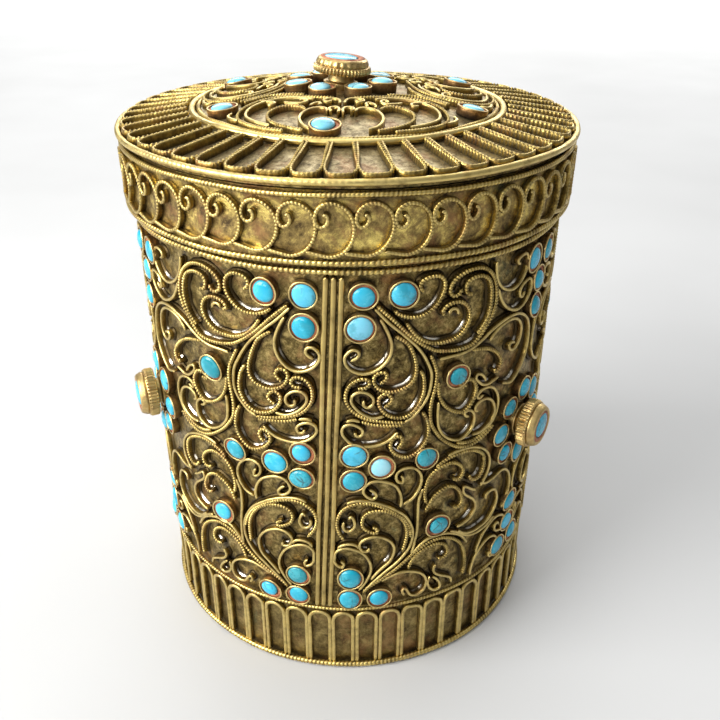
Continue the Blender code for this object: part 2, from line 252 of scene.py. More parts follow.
def add_foot(shape, points, lay, half, flip):
    """Solder along a strip's foot. Its colour carries a painted highlight: pale inside bends, on the side
    that faces up toward the lamps.
    """
    path, along, ahead, side = path_frame(points, FOOT_STEP)
    bend = ahead[:, 0] * np.gradient(ahead[:, 1]) - ahead[:, 1] * np.gradient(ahead[:, 0])
    inside = np.clip(bend[:, None] * FOOT_SIDE / FOOT_STEP * 5.0, 0.0, 1.0)
    # lit marks the side that faces up, where the highlight is painted as if light from above glinted there
    lit = np.clip(side[:, 1:] * FOOT_SIDE - 0.15, 0.0, 1.0) ** 0.7
    patchy = 0.55 + 0.45 * np.sin(0.9 * along + 7.0 * points[0][0])[:, None]
    sheen = inside * lit * patchy * FOOT_PAINTED_GLINT
    across = FOOT_SIDE * half * 0.9 + FOOT_SIDE * FOOT_FLARE
    plan = path[:, None, :] + side[:, None, :] * across[:, None]
    shape.add(lay(plan[..., 0], plan[..., 1], FOOT_UP), sheen, tube=True, flip=flip)


ROUND_SIDES = 10
STRAND_SAMPLES = 8
SWAY = 0.05


def add_ring(shape, radius, heights, wire, wear=1.0):
    """A round wire laid in a ring. heights and wire radii are given at even steps round it."""
    turn = round_turns(len(heights))
    centres = polar(radius, turn, heights)
    ahead = np.roll(centres, -1, 0) - np.roll(centres, 1, 0)
    ahead /= np.linalg.norm(ahead, axis=1)[:, None]
    side = np.cross(ahead, polar(1.0, turn, 0.0))
    side /= np.linalg.norm(side, axis=1)[:, None]
    up = np.cross(side, ahead)
    across = round_turns(ROUND_SIDES)[:, None]
    section = np.cos(across) * up[:, None, :] + np.sin(across) * side[:, None, :]
    grid = centres[:, None, :] + wire[..., None] * section
    shape.add(grid, wear, loop=True, tube=True, flip=True)


def add_rope(shape, radius, height, wire, pitch, depth):
    """A tightly twisted wire laid in a ring: its strands show as slanted beads."""
    count = round(TURN * radius / pitch)
    turn = round_turns(count * STRAND_SAMPLES)
    sway = SWAY * (np.sin(7 * turn + radius) + np.sin(11 * turn + height))
    swell = np.abs(np.cos((count * turn[:, None] + round_turns(ROUND_SIDES)) / 2.0))
    deep = 1.0 - depth * (1.0 - np.sqrt(swell))
    # The grooves between strands are darker: partly grime, partly painted shade
    low = 0.75 - 1.8 * depth
    add_ring(shape, radius, height + sway, wire * deep, low + (1.0 - low) * swell)


NOTCH_PITCH = 0.85
NOTCH_DEPTH = 0.22
RING_STEP = 0.14


def add_ring_wire(shape, radius, height, wire, notched):
    """A wire ring. Where it is notched, its beading deepens and fades once round the ring."""
    turn = round_turns(round(TURN * radius / RING_STEP))
    sway = SWAY * (np.sin(5 * turn) + np.sin(8 * turn + 1.0))
    bead = 0.5 - 0.5 * np.cos(round(TURN * radius / NOTCH_PITCH) * turn)
    depth = (0.5 - 0.5 * np.cos(turn + 0.6)) if notched else 0.0
    sizes = wire * (1.0 - NOTCH_DEPTH * depth * bead)
    add_ring(shape, radius, height + sway, sizes[:, None])


def rounded(outline, radius=0.12, steps=3):
    """Rounds the corners of an outline of (radius, height)."""
    points = [np.array(p, float) for p in outline]
    made = [points[0]]
    for before, corner, after in zip(points, points[1:], points[2:]):
        back, ahead = before - corner, after - corner
        cut = min(radius, 0.45 * np.hypot(*back), 0.45 * np.hypot(*ahead))
        start = corner + back / np.hypot(*back) * cut
        end = corner + ahead / np.hypot(*ahead) * cut
        for share in np.linspace(0.0, 1.0, steps + 1):
            rest = 1 - share
            made.append(rest**2 * start + 2 * share * rest * corner + share**2 * end)
    made.append(points[-1])
    return made


def add_turned(
    shape, outline, place, sides, wear=1.0, tint=0.5, ripple=None, oval=0.0, phase=0.0, loop=False
):
    """Turns an outline, which runs up its outer side, about the Z of a placing matrix."""
    outline = np.array(outline)
    turn = round_turns(sides)
    scale = 1.0 + oval * np.cos(2 * (turn - phase)) + 0.35 * oval * np.cos(3 * turn + phase)
    radius = outline[:, :1] * scale
    if ripple:
        radius = radius * ripple(turn, outline[:, 1:])
    matrix = np.array(place)
    grid = polar(radius, turn, outline[:, 1:]) @ matrix[:3, :3].T + matrix[:3, 3]
    values = np.broadcast_to(np.array(wear, float).reshape(-1, 1), (len(outline), sides))
    shape.add(grid, values, tint, loop=loop, tube=True, flip=True)


# ==== Surfaces ====


def sleeve(start, mirrored=False):
    """Bends a half-panel pattern (arc from a divider, height) round the leaning sleeve."""
    side = -1.0 if mirrored else 1.0

    def lay(arc, height, up):
        angle = start + (side * arc + LEAN * (height - LEAN_MIDDLE)) / SLEEVE
        return polar(SHEET + up, angle, height)

    return lay


def upright(radius, turn=0.0):
    """Bends a pattern (arc, height) round an upright cylinder."""

    def lay(arc, height, up):
        return polar(radius + up, turn + arc / radius, height)

    return lay


def lid_height(radius):
    """The lid's upper surface."""
    dome = LID_HIGH - DOME_DROP * (radius / DOME_RADIUS) ** 2
    share = (radius - DOME_RADIUS) / (CONE_RADIUS - DOME_RADIUS)
    cone = LID_HIGH - DOME_DROP - CONE_DROP * share
    return np.where(radius <= DOME_RADIUS, dome, cone)


def on_lid(turn, lift):
    """Lays a plan drawn round the lid's axis on the lid's upper surface."""

    def lay(x, y, up):
        radius = np.hypot(x, y)
        return polar(radius, np.arctan2(y, x) + turn, lid_height(radius) + lift + up)

    return lay


def frame_at(angle, radius, height, tip):
    """A frame at a radius, an angle and a height. Its Z is tipped outward from upright."""
    turn = Matrix.Rotation(angle, 4, "Z") @ Matrix.Rotation(tip, 4, "Y")
    place = Vector((radius * math.cos(angle), radius * math.sin(angle), height))
    return Matrix.Translation(place) @ turn


def facing(angle, radius, height):
    """A frame on the sleeve with its Z pointing outward."""
    return frame_at(angle, radius, height, math.pi / 2.0)


def on_dome(radius, angle):
    """A frame on the rosette sheet with its Z along the dome's normal."""
    slope = 2.0 * DOME_DROP * radius / DOME_RADIUS**2
    height = float(lid_height(np.array(radius))) + ROSETTE_LIFT
    return frame_at(angle, radius, height, math.atan(slope))


# ==== Materials ====


class Recipe:
    """A short way to write a node material."""

    def __init__(self, name):
        self.material = bpy.data.materials.new(name)
        self.material.use_nodes = True
        self.tree = self.material.node_tree
        self.shader = self.tree.nodes["Principled BSDF"]
        self.coords = self.tree.nodes.new("ShaderNodeTexCoord").outputs["Object"]

    def node(self, kind, **inputs):
        """Adds a node and gives its inputs: constants are set and outputs are linked."""
        node = self.tree.nodes.new("ShaderNode" + kind)
        for label, value in inputs.items():
            self.give(node.inputs[label.replace("_", " ")], value)
        return node

    def give(self, socket, value):
        if isinstance(value, bpy.types.NodeSocket):
            self.tree.links.new(value, socket)
        else:
            socket.default_value = value

    def set(self, **inputs):
        """Gives the inputs of the material's shader."""
        for label, value in inputs.items():
            self.give(self.shader.inputs[label.replace("_", " ")], value)

    def noise(self, scale, detail=5.0, rough=0.6, distortion=0.0):
        node = self.node(
            "TexNoise", Scale=scale, Detail=detail, Roughness=rough, Distortion=distortion,
            Vector=self.coords,
        )
        return node.outputs["Fac"]

    def attribute(self, name):
        node = self.node("Attribute")
        node.attribute_name = name
        return node.outputs["Fac"]

    def ramp(self, source, stops):
        node = self.node("ValToRGB", Fac=source)
        band = node.color_ramp
        while len(band.elements) < len(stops):
            band.elements.new(0.5)
        for element, (place, colour) in zip(band.elements, stops):
            element.position = place
            element.color = (*colour, 1.0)
        return node.outputs["Color"]

    def span(self, source, low, high, to_low=0.0, to_high=1.0):
        node = self.node("MapRange")
        node.interpolation_type = "SMOOTHSTEP"
        for socket, value in zip(node.inputs[:5], (source, low, high, to_low, to_high)):
            self.give(socket, value)
        return node.outputs["Result"]

    def maths(self, kind, first, second):
        node = self.node("Math")
        node.operation = kind
        node.use_clamp = True
        self.give(node.inputs[0], first)
        self.give(node.inputs[1], second)
        return node.outputs[0]

    def mix(self, factor, first, second):
        node = self.node("Mix")
        node.data_type = "RGBA"
        for socket, value in zip((node.inputs[0], *node.inputs[6:8]), (factor, first, second)):
            self.give(socket, (*value, 1.0) if isinstance(value, tuple) else value)
        return node.outputs[2]

    def bump(self, source, strength, distance):
        node = self.node("Bump", Strength=strength, Distance=distance * MM, Height=source)
        self.set(Normal=node.outputs["Normal"])


GRIME_AND_SHADE = (0.014, 0.009, 0.004)
OLIVE = (0.19, 0.138, 0.048)
GOLD = (0.80, 0.63, 0.25)
COPPER = (0.30, 0.150, 0.065)
VERDIGRIS = (0.17, 0.21, 0.11)


def brass(name, dark, middle, bright, worn, gloss, grain=0.25, scale=420.0, cast=0.5, rough=0.8):
    """Aged brass: blotches, a coppery cast, a little verdigris, gold on worn tops, and near-black low down
    and in recesses, which is partly grime and partly painted shade.
    """
    made = Recipe(name)
    blotch = made.noise(scale, 9.0, rough, 0.3)
    tone = made.ramp(blotch, ((0.38, dark), (0.50, middle), (0.62, bright)))
    rosy = made.span(made.noise(170.0, 6.0, 0.7), 0.50, 0.66, 0.0, cast)
    tone = made.mix(rosy, tone, COPPER)
    green = made.span(made.noise(230.0, 6.0, 0.75, 0.4), 0.58, 0.70, 0.0, 0.4)
    tone = made.mix(green, tone, VERDIGRIS)
    wear = made.attribute("wear")
    fine = made.noise(700.0, 5.0, 0.65)
    rubbed = made.span(wear, 0.70, 1.0)
    rub = made.maths("MULTIPLY", rubbed, made.span(fine, 0.25, 0.60, 0.25, 0.95))
    tone = made.mix(made.maths("MULTIPLY", rub, worn), tone, GOLD)
    # Where the attribute is low, at the feet of wires, beside them and in grooves, the brass turns
    # near-black: partly grime, partly painted shade in the recesses
    hidden = made.span(wear, 0.02, 0.42, 1.0, 0.0)
    grime_and_painted_shade = made.maths("MULTIPLY", hidden, made.span(fine, 0.2, 0.5, 0.5, 0.95))
    sheen = made.span(blotch, 0.35, 0.65, gloss + 0.20, gloss)
    made.set(
        Base_Color=made.mix(grime_and_painted_shade, tone, GRIME_AND_SHADE),
        Metallic=made.span(grime_and_painted_shade, 0.0, 1.0, 1.0, 0.25),
        Roughness=made.maths("ADD", sheen, made.span(grime_and_painted_shade, 0.0, 1.0, 0.0, 0.35)),
    )
    made.bump(made.noise(900.0, 6.0, 0.65), grain, 0.25)
    return made.material


# The colour of turquoise by a stone's tint, from pale blue through sky blue to teal
TURQUOISE_STOPS = (
    (0.0, (0.30, 0.58, 0.66)), (0.25, (0.060, 0.43, 0.64)), (0.5, (0.010, 0.33, 0.49)),
    (0.75, (0.003, 0.24, 0.32)), (1.0, (0.002, 0.15, 0.17)),
)


def turquoise():
    """Polished turquoise with pale clouds, dull spots and dark veins."""
    made = Recipe("turquoise")
    shade = made.ramp(made.attribute("tint"), TURQUOISE_STOPS)
    cloud = made.span(made.noise(520.0, 5.0, 0.6, 0.4), 0.38, 0.66, 0.0, 0.38)
    shade = made.mix(cloud, shade, (0.11, 0.54, 0.62))
    dull = made.span(made.noise(330.0, 4.0, 0.6), 0.52, 0.68, 0.0, 0.5)
    shade = made.mix(dull, shade, (0.004, 0.15, 0.18))
    cells = made.node("TexVoronoi", Scale=480.0, Vector=made.coords)
    cells.feature = "DISTANCE_TO_EDGE"
    line = made.span(cells.outputs["Distance"], 0.0, 0.07, 0.8, 0.0)
    veins = made.maths("MULTIPLY", line, made.span(made.noise(260.0, 3.0), 0.55, 0.66))
    made.set(
        Base_Color=made.mix(veins, shade, (0.03, 0.028, 0.02)),
        Roughness=made.span(cloud, 0.0, 0.38, 0.16, 0.30),
        Specular_IOR_Level=0.4,
        Coat_Weight=0.12,
        Coat_Roughness=0.10,
    )
    made.bump(made.noise(700.0, 4.0), 0.12, 0.15)
    return made.material


def cement():
    """The red setting cement round a stone."""
    made = Recipe("red_cement")
    stops = ((0.3, (0.09, 0.030, 0.014)), (0.5, (0.36, 0.115, 0.042)), (0.7, (0.50, 0.22, 0.10)))
    made.set(
        Base_Color=made.ramp(made.noise(700.0, 5.0, 0.7), stops),
        Roughness=made.span(made.noise(900.0), 0.3, 0.7, 0.45, 0.85),
    )
    made.bump(made.noise(1400.0, 5.0), 0.5, 0.2)
    return made.material


def floor_finish():
    """A pale studio floor."""
    made = Recipe("studio_floor")
    stops = ((0.3, (0.43, 0.43, 0.425)), (0.7, (0.49, 0.49, 0.485)))
    made.set(Base_Color=made.ramp(made.noise(6.0, 3.0), stops), Roughness=0.6)
    return made.material


def solder():
    """Solder at the feet of the wires: pale tin where a highlight is painted on it, elsewhere dark."""
    made = Recipe("wire_solder")
    sheen = made.span(made.attribute("wear"), 0.12, 0.55)
    painted_glint = made.maths("MULTIPLY", sheen, made.span(made.noise(800.0, 4.0, 0.6), 0.36, 0.56))
    made.set(
        # The painted highlight turns the dark solder to pale tin
        Base_Color=made.mix(painted_glint, (0.055, 0.038, 0.016), (0.86, 0.80, 0.68)),
        Roughness=made.span(painted_glint, 0.0, 1.0, 0.45, 0.16),
        Metallic=1.0,
    )
    made.bump(made.noise(1000.0, 4.0), 0.25, 0.2)
    return made.material


SHEET_BRASS = brass(
    "patinated_sheet_brass", (0.042, 0.029, 0.013), OLIVE, (0.48, 0.36, 0.14), worn=0.2,
    gloss=0.32, grain=0.55, scale=760.0,
)
PETAL_BRASS = brass(
    "petal_sheet_brass", (0.07, 0.048, 0.020), (0.19, 0.137, 0.050), (0.36, 0.27, 0.10), worn=0.2,
    gloss=0.34, grain=0.35, scale=380.0,
)
SKIRT_BRASS = brass(
    "skirt_sheet_brass", (0.07, 0.045, 0.024), (0.32, 0.225, 0.078), (0.90, 0.70, 0.20), worn=0.3,
    gloss=0.26, grain=0.5, scale=240.0, cast=0.7,
)
LID_BRASS = brass(
    "lid_sheet_brass", (0.09, 0.065, 0.032), (0.28, 0.22, 0.110), (0.45, 0.37, 0.20), worn=0.3,
    gloss=0.42, grain=0.5, scale=800.0,
)
INNER_BRASS = brass(
    "inner_sheet_brass", (0.15, 0.10, 0.04), (0.27, 0.19, 0.075), (0.40, 0.29, 0.11), worn=0.2,
    gloss=0.42,
)
WIRE_BRASS = brass(
    "gilt_wire_brass", (0.13, 0.088, 0.026), (0.34, 0.242, 0.072), (0.54, 0.40, 0.125), worn=0.72,
    gloss=0.30, grain=0.3,
)
ROPE_BRASS = brass(
    "rope_wire_brass", (0.17, 0.115, 0.035), (0.42, 0.30, 0.085), (0.62, 0.47, 0.145), worn=0.7,
    gloss=0.28, grain=0.2, scale=260.0, rough=0.6,
)
DIVIDER_BRASS = brass(
    "divider_brass", (0.17, 0.11, 0.035), (0.36, 0.25, 0.075), (0.52, 0.39, 0.13), worn=0.4,
    gloss=0.30, grain=0.15, scale=170.0, rough=0.5,
)
BEZEL_BRASS = brass(
    "bezel_brass", (0.10, 0.05, 0.020), (0.32, 0.18, 0.070), (0.50, 0.34, 0.14), worn=0.5, gloss=0.30
)
CUP_BRASS = brass(
    "cup_brass", (0.14, 0.075, 0.028), (0.42, 0.27, 0.11), (0.62, 0.46, 0.20), worn=0.75,
    gloss=0.24, grain=0.3,
)
SOLDER = solder()
TURQUOISE = turquoise()
CEMENT = cement()


# ==== The half-panel pattern ====

# A path is written point by point as x,z: the distance right of a plumb line, and the height.
# The plumb line is PLUMB_LINE right of the divider's middle where the lean is zero.
PLUMB_LINE = 3.4

BEADED_PATHS = (
    (6.1,69.7, 7,69, 8.6,68.55, 10.3,68.6, 11.8,69.2, 13,70.4, 13.6,71.9, 13.4,73.3, 12.6,74.1, 11.4,74.3,
     10.2,74, 9.6,73.3, 9.8,72.6, 10.3,72.2),
    (3.9,70.4, 5,69.3, 6.3,68, 7.4,66.8, 8.5,65.7, 10.2,64.3, 12.5,62.8, 14,62.3, 15.5,62, 17.2,62,
     18.5,62.3, 19.6,63.1, 21,64.6, 22.2,66, 22.9,67.6, 23,69.3, 22.5,71.3, 21.5,72.8, 20,73.8, 18.2,74.1,
     16.5,73.8, 15.2,73.1, 14.5,72.1, 14.5,71.1, 15.1,70.5, 15.8,70.6, 16.2,71.3),
    (19.3,63.9, 20.2,64.6, 21.3,65.9, 21.9,67.5, 22,69.2, 21.7,70.9, 20.9,72.1, 19.6,72.7, 18.2,72.7,
     17.2,72.2, 16.9,71.3, 17.2,70.4, 18,70.2),
    (7.8,67.8, 8.4,66.8, 9.4,65.6, 10.6,64.7, 12.2,64, 14,63.8, 15.6,64, 16.8,64.8, 17.6,66, 17.8,67.2,
     17.3,68.5, 16.3,69.3, 15,69.5, 13.9,69.1, 13.5,68.4, 13.9,67.9),
    (6.2,65.9, 7,65.4, 8,64.6, 8.7,63.3, 9.3,61.5, 9.5,60, 9.3,58.7, 8.5,57.6, 7.3,57, 6,56.7, 4.9,56.9,
     4.1,57.4, 3.5,58.4, 3.5,59.4, 4,60, 4.8,60.1, 5.2,59.5, 5,58.8, 4.3,58.2),
    (10.1,60, 10.8,58.8, 11.1,57.2, 11.1,55.8, 10.6,54.3, 9.7,53.1, 8.4,52.3, 7,52.2, 5.7,52.6, 4.8,53.5,
     4.3,54.7, 4.4,55.8, 5.2,56.4, 5.9,55.9, 6.1,55.2, 5.6,54.5, 5,54.1),
    (8,51.3, 6,51.5, 4.2,51.8, 2.6,52.2, 1.2,53, 0.2,54, -0.5,55.3, -0.6,56.6, -0.1,58, 0.8,58.8, 1.9,59.1,
     2.7,58.8, 2.9,58.1, 2.3,57.5, 1.2,57.5),
    (7.7,50.9, 5.5,51, 3.5,51.2, 1.8,51.8),
    (11.7,62.2, 12.4,60.6, 13,58.5, 12.9,56, 12.5,54, 12.3,52, 12.5,50, 13.3,48.3, 14.3,46.8, 15.6,45.5,
     17.2,44.5, 19,44.1, 21.3,44.3, 23.4,45.1, 24.6,45.9),
    (16.8,45.4, 18.5,44.9, 20.5,44.9, 22.3,45.4, 24,46.2),
    (11,52.6, 11.6,51.5, 12,50, 12,48.3, 11.4,46.8, 10.2,45.6, 8.8,45.1, 7.4,45.4, 6.4,46.1, 5.8,47.1,
     5.9,48.2, 6.4,48.9, 7.2,49, 7.6,48.3, 7.3,47.4, 6.8,46.9),
    (18.5,61.3, 20.5,61.1, 22,60.7, 23.5,59.8, 24.7,58.4, 25.3,57, 25.1,56, 24.3,55.7, 23.9,56.4),
    (13.4,57, 13.6,55, 14.2,53.3, 15.2,51.9, 16.5,51, 17.8,50.7, 19,51.3, 20,52.5, 20.4,53.9, 20.1,55,
     19.4,55.9, 18.3,56.1, 17.3,55.9, 16.9,55.4, 17.4,55.1, 18.2,55.3),
    (-1.2,29.5, -2,30.8, -2.4,32.5, -2.1,34.1, -1.3,35.3, 0,36.1, 1.8,36.5, 3.6,36.2, 5.5,35.3, 7.2,34.1,
     8.6,32.7, 9.5,31, 9.9,29),
    (8.6,26.2, 9,28.3, 9.1,30, 8.7,31.8, 7.8,33.2, 6.5,34.3, 5,34.9, 3.5,34.9, 2.3,34.2, 1.8,33, 2,31.8,
     2.9,31, 3.9,30.7, 4.1,31.3, 3.4,31.9),
    (2,17.9, 3,19, 4.4,20.1, 5.8,21.2, 7.2,22.2, 8.7,23.4, 10.2,24.7, 11.8,25.9, 13.5,26.6, 15.2,26.7,
     17,26.1, 18.6,25.1, 19.9,23.6, 20.6,21.9, 20.9,20, 20.9,18, 20.6,16.5),
    (9.8,22, 10.4,23.4, 11.5,24.7, 13,25.5, 14.6,25.7, 16,25, 16.8,23.8, 16.8,22.5, 16,21.9, 15,22.2),
    (12.3,35, 12.1,36.5, 12.3,38.3, 12.8,39.8, 13.8,40.9, 15.2,41.5, 16.6,41.5, 17.9,40.8, 18.8,39.8,
     19,38.7, 18.4,37.9, 17.4,37.9, 16.9,38.4),
    (12.2,33.3, 12.8,34.6, 13.6,35.7, 14.8,36.5, 16,36.9, 17,36.6, 18,35.8, 18.7,34.6, 19,33.3, 18.6,32.4,
     17.7,32.3, 17,32.8),
    (13.8,41.6, 15,42.4, 16.6,42.9, 18.6,43.1, 20.5,42.8, 22.2,41.9, 23.3,40.6, 23.6,39, 23.4,37.5,
     22.6,36.5, 21.6,36.5, 20.7,37.1, 20.5,37.8),
)

PLAIN_PATHS = (
    (14.3,68.1, 15,68.6, 15.7,68.3, 15.8,67.6),
    (4.3,68.5, 4.9,67.3, 5.4,66, 5.7,64.6, 5.5,63, 4.8,61.6, 3.7,60.5, 2.4,60, 1,60.2, -0.2,60.9,
     -0.9,61.9, -1,62.9, -0.5,63.6, 0.2,64, 1,63.8, 1.2,63.2, 0.7,62.6, -0.1,62.3),
    (3.6,70, 5.5,67.8, 7,66.4, 8.3,65.1, 9.4,64, 10.5,62.5, 11.4,60.8, 12.1,59, 12.2,57.3, 12,55.6,
     11.4,54.2, 10.4,53, 9.3,52, 8,51.4),
    (5,52.6, 3.6,52.3, 2.2,52.9, 1,54, 0.3,55.2, 0.5,56.3, 1.4,56.8, 2.6,56.6, 3.5,55.7, 3.5,54.7,
     2.8,54.1, 2.2,54.5, 2.2,55.4),
    (6.9,49.8, 6,48.8, 4.6,47.9, 3,47.5, 1.4,47.6, 0,48.2, -1,49.2, -1.4,50.2, -1,51.1, 0,51.4, 1.2,51,
     1.9,50.2, 1.6,49.4, 0.9,49.4, 0.6,50.1),
    (-0.6,51.9, 0.4,52.1, 1.6,51.8),
    (13.2,61.1, 15,61.1, 16.5,61.1, 18.5,61.6, 20.5,62.6, 22.5,63.7, 24.3,64.3, 26.5,64.5, 28.5,64.1,
     30.3,63.3, 31.7,62.2, 32.6,60.6, 33,58, 32.6,55.5, 31,53.4, 28.6,52, 26,52.8),
    (22.2,62.1, 23.4,63.2, 24.8,63.8, 26.5,63.9, 28,63.4, 29.3,62.3, 29.9,60.9, 29.8,59.4, 29,58.3, 28,58,
     27.1,58.4, 26.8,59.2, 27.3,59.6, 28.2,59.2),
    (25,54.5, 24,54.3, 23,54.1, 21.8,54.4, 20.8,55.2, 20.1,56, 20.4,56.6, 21.2,56.4, 22,55.6, 22.3,54.9),
    (13.6,53.5, 13.5,51, 13.7,49, 14.6,47.3, 15.9,46.2, 17.4,45.8, 18.8,46.3, 19.8,47.2, 20.3,48.5,
     20.2,49.6, 19.6,50.4, 18.8,50.7, 18.1,50.3, 18.4,49.8, 19,49.6),
    (23.4,46, 24.5,47, 25.2,48.4, 25.4,50, 25,51.6, 24,53, 22.5,53.6, 21.3,53.3, 20.7,52.6, 21.2,52.2,
     22,52.6),
    (20,46, 21.8,45.9, 23.3,46.4, 24.3,47.2, 24.7,48.4, 24.5,49.7, 23.8,50.9, 22.7,51.6, 21.5,51.6,
     20.6,51, 20.4,50.3, 21,50),
    (8.3,35.9, 9.3,36.2, 10,36.6, 11,37.9, 11.5,39.5, 11.3,41, 10.4,42.3, 9.2,42.9, 8,42.8, 7.2,42.3,
     7,41.3, 7.4,40.4, 8.1,40.1, 8.2,40.9, 7.8,41.6),
    (7.8,35.4, 8,36.8, 7.7,38.3, 6.9,39.7, 5.6,40.5, 4.2,40.8, 3,40.4, 2.4,39.6, 2.2,38.7, 2.7,37.8,
     3.6,37.3, 4.1,37.8, 3.8,38.6, 3.1,39.2),
    (-0.5,36.6, 1,37, 3,36.8, 5,36.1, 6.8,35, 8.5,33.6, 9.5,32, 10.1,30.3, 10.2,28.6, 9.8,26.8, 8.8,25.1,
     7.4,23.6, 5.9,22.3, 4.5,20.9, 3.2,19.4, 2.2,18.2),
    (-0.4,33.6, 0.1,34, 0.5,33.3, 0.6,32.2, 0,31.3, -0.9,31.3, -1.4,32.2, -1.2,33.1),
    (3.3,20.5, 4.2,21.8, 5.2,23, 6.3,24.2, 6.9,25.6, 7,27.2, 6.3,28.6, 5.2,29.5, 3.8,29.9, 2.4,29.5,
     1.6,28.6, 1.6,27.6, 2.1,26.9, 2.9,26.9, 3,27.6),
    (1.3,18.3, 2.1,19.4, 2.8,20.7, 3.3,22, 3.4,23.5, 3,25, 2.2,26.3, 0.9,27.2, -0.5,27.6, -1.7,27.4,
     -2.5,26.6, -2.6,25.6, -2.6,24.6, -2,23.7, -1.2,23.4, -1,24.1, -1.5,24.8),
    (-2.2,27.6, -1.6,28.2, -0.4,28.5, 0.8,28.3, 1.5,27.6),
    (10.4,25.3, 13,27.4, 15.5,27.5, 18,26.7, 19.8,25.5, 21.2,23.4),
    (5,20.1, 6.5,20.9, 8.2,21.4, 10,21.2, 11.7,20.3, 12.7,19, 12.9,17.5, 12.4,16.1, 11.3,15.6, 10.2,16,
     9.6,17, 9.1,17.7, 8.6,17.3, 9,16.3),
    (13.5,18.7, 13.2,17.3, 13.7,16, 14.7,15.3, 15.5,15.6, 15.4,16.5, 14.8,17.6, 14,18.5),
    (14.6,20.9, 14.2,20, 14.4,19.2, 15.3,18.3, 16.6,17.6, 17.7,16.8, 18,15.8),
    (10.3,25, 10.6,27, 10.9,30, 10.9,33, 11.1,36, 11.8,38),
    (15.6,43.2, 17.3,43.6, 19.5,43.6, 21.6,43, 23.3,41.8, 24.5,40, 24.9,38.2, 24.6,36.6, 23.8,35.3,
     23,34.5),
    (22,34.2, 21.2,34.7, 20.4,35.3, 19.6,35.8, 19.2,35.3, 19.5,34.4, 20.5,33.5, 21.5,32.6, 22.2,31.3,
     22.2,30, 21.4,28.9, 20,28.3, 18.4,28),
    (18.8,27.1, 20.2,26, 22,25.3, 24,25.2, 26,25.7, 27.3,26.9, 27.9,28.6, 27.6,30.2, 26.8,31.5, 25.6,32,
     24.6,31.6, 24.6,30.8),
    (17,27.6, 19,26.6, 21,25.1, 23,24.4, 25.5,24.5, 27.5,25.4),
    (22.9,35.2, 24.2,34.4, 26,34.3, 28.5,34.6, 30.3,33.8, 31.6,32, 32,29.8, 31.4,27.6, 30,26),
)

# Scrolls above the boss, which the panel's foot repeats upside down
CORNER_PATHS = (
    (22.3,74.4, 22.5,72.8, 23,71.3, 24,70, 25.3,69.1, 26.7,68.8, 28.2,69.3, 29.4,70.4, 30,71.7, 29.7,72.8,
     29,73.5, 28,73.6, 27.2,73.3, 27,72.8, 27.6,72.3),
    (23.3,69.9, 24,68.2, 25,66.7, 26.5,65.5, 28,65, 29.5,65.2, 31,66, 32,67.3, 31.8,68.6, 30.9,69, 30,68.9,
     28.9,68.5, 28.3,67.7, 28.5,66.9, 29.2,66.7, 29.7,67.3),
)
CORNER_MIRROR = 89.6

# Stones of a half panel, by (arc from the divider, height), and those on the boss's line
DIVIDER_STONES = (
    (4.1, 72.2), (9.7, 72.1), (3.9, 67.3),
    (3.9, 46.0), (3.9, 41.3), (8.3, 43.6), (15.3, 44.0),
    (4.3, 21.1), (4.4, 16.6), (9.3, 16.5),
    (19.4, 57.5), (18.6, 29.8),
)
BOSS_LINE_STONES = (
    (-2.6, 72.2), (2.6, 72.2), (0.0, 68.2), (0.0, 63.6),
    (0.0, 26.2), (0.0, 21.6), (-2.5, 17.6), (2.5, 17.6),
)


def pairs(path):
    """A drawn path as an array of points."""
    return np.array(path, float).reshape(-1, 2)


def off_plumb(drawn):
    """Turns plumb-line distances into arcs from the divider's middle."""
    arc = drawn[:, 0] + PLUMB_LINE - LEAN * (drawn[:, 1] - LEAN_MIDDLE)
    return np.stack((arc, drawn[:, 1]), -1)


def upside_down(drawn):
    return np.stack((drawn[:, 0], CORNER_MIRROR - drawn[:, 1]), -1)


BEADED_PATTERN = [off_plumb(pairs(path)) for path in BEADED_PATHS]
PLAIN_PATTERN = [off_plumb(pairs(path)) for path in PLAIN_PATHS + CORNER_PATHS]
PLAIN_PATTERN += [off_plumb(upside_down(pairs(path))) for path in CORNER_PATHS]


def by_hand(points, phases, reach=0.14):
    """Shifts a pattern a little, smoothly, so that no two halves are quite alike."""
    x, z = points.T
    shift_x = reach * (np.sin(0.41 * z + phases[0]) + np.sin(0.63 * x + phases[1]))
    shift_z = reach * (np.sin(0.47 * x + phases[2]) + np.sin(0.38 * z + phases[3]))
    return np.stack((x + shift_x, z + shift_z), -1)


# ==== Settings ====

CUP_OUTLINE = rounded(((2.12, -0.2), (2.18, 0.9), (2.2, 1.25), (1.93, 1.27), (1.9, 0.95)), 0.1, 2)
CUP_SHARE = np.linspace(0, 1, len(CUP_OUTLINE))
# A cup is worn gold at its rim and dark at its foot, partly grime and partly painted shade where it meets
# the sheet
CUP_WEAR_AND_SHADE = np.interp(CUP_SHARE, (0, 0.2, 0.5, 0.8, 1), (0.1, 0.5, 1, 0.9, 0.3))
CEMENT_OUTLINE = ((1.98, 0.92), (1.88, 1.02), (1.66, 1.03), (1.2, 0.92))
STONE_RADIUS = 1.66
STONE_LOW = 1.10
OUT_OF_TRUE = 0.035
OFF_CENTRE = 0.11


def stone_outline(radius, low, high):
    """A low cabochon: a dome on a short straight side."""
    turns = np.linspace(0.0, 0.5 * math.pi, 7)
    dome = [(radius * math.cos(t), low + (high - low) * math.sin(t)) for t in turns]
    return [(0.0, low - 0.5), (radius * 0.97, low - 0.5)] + dome[:-1] + [(0.0, high)]


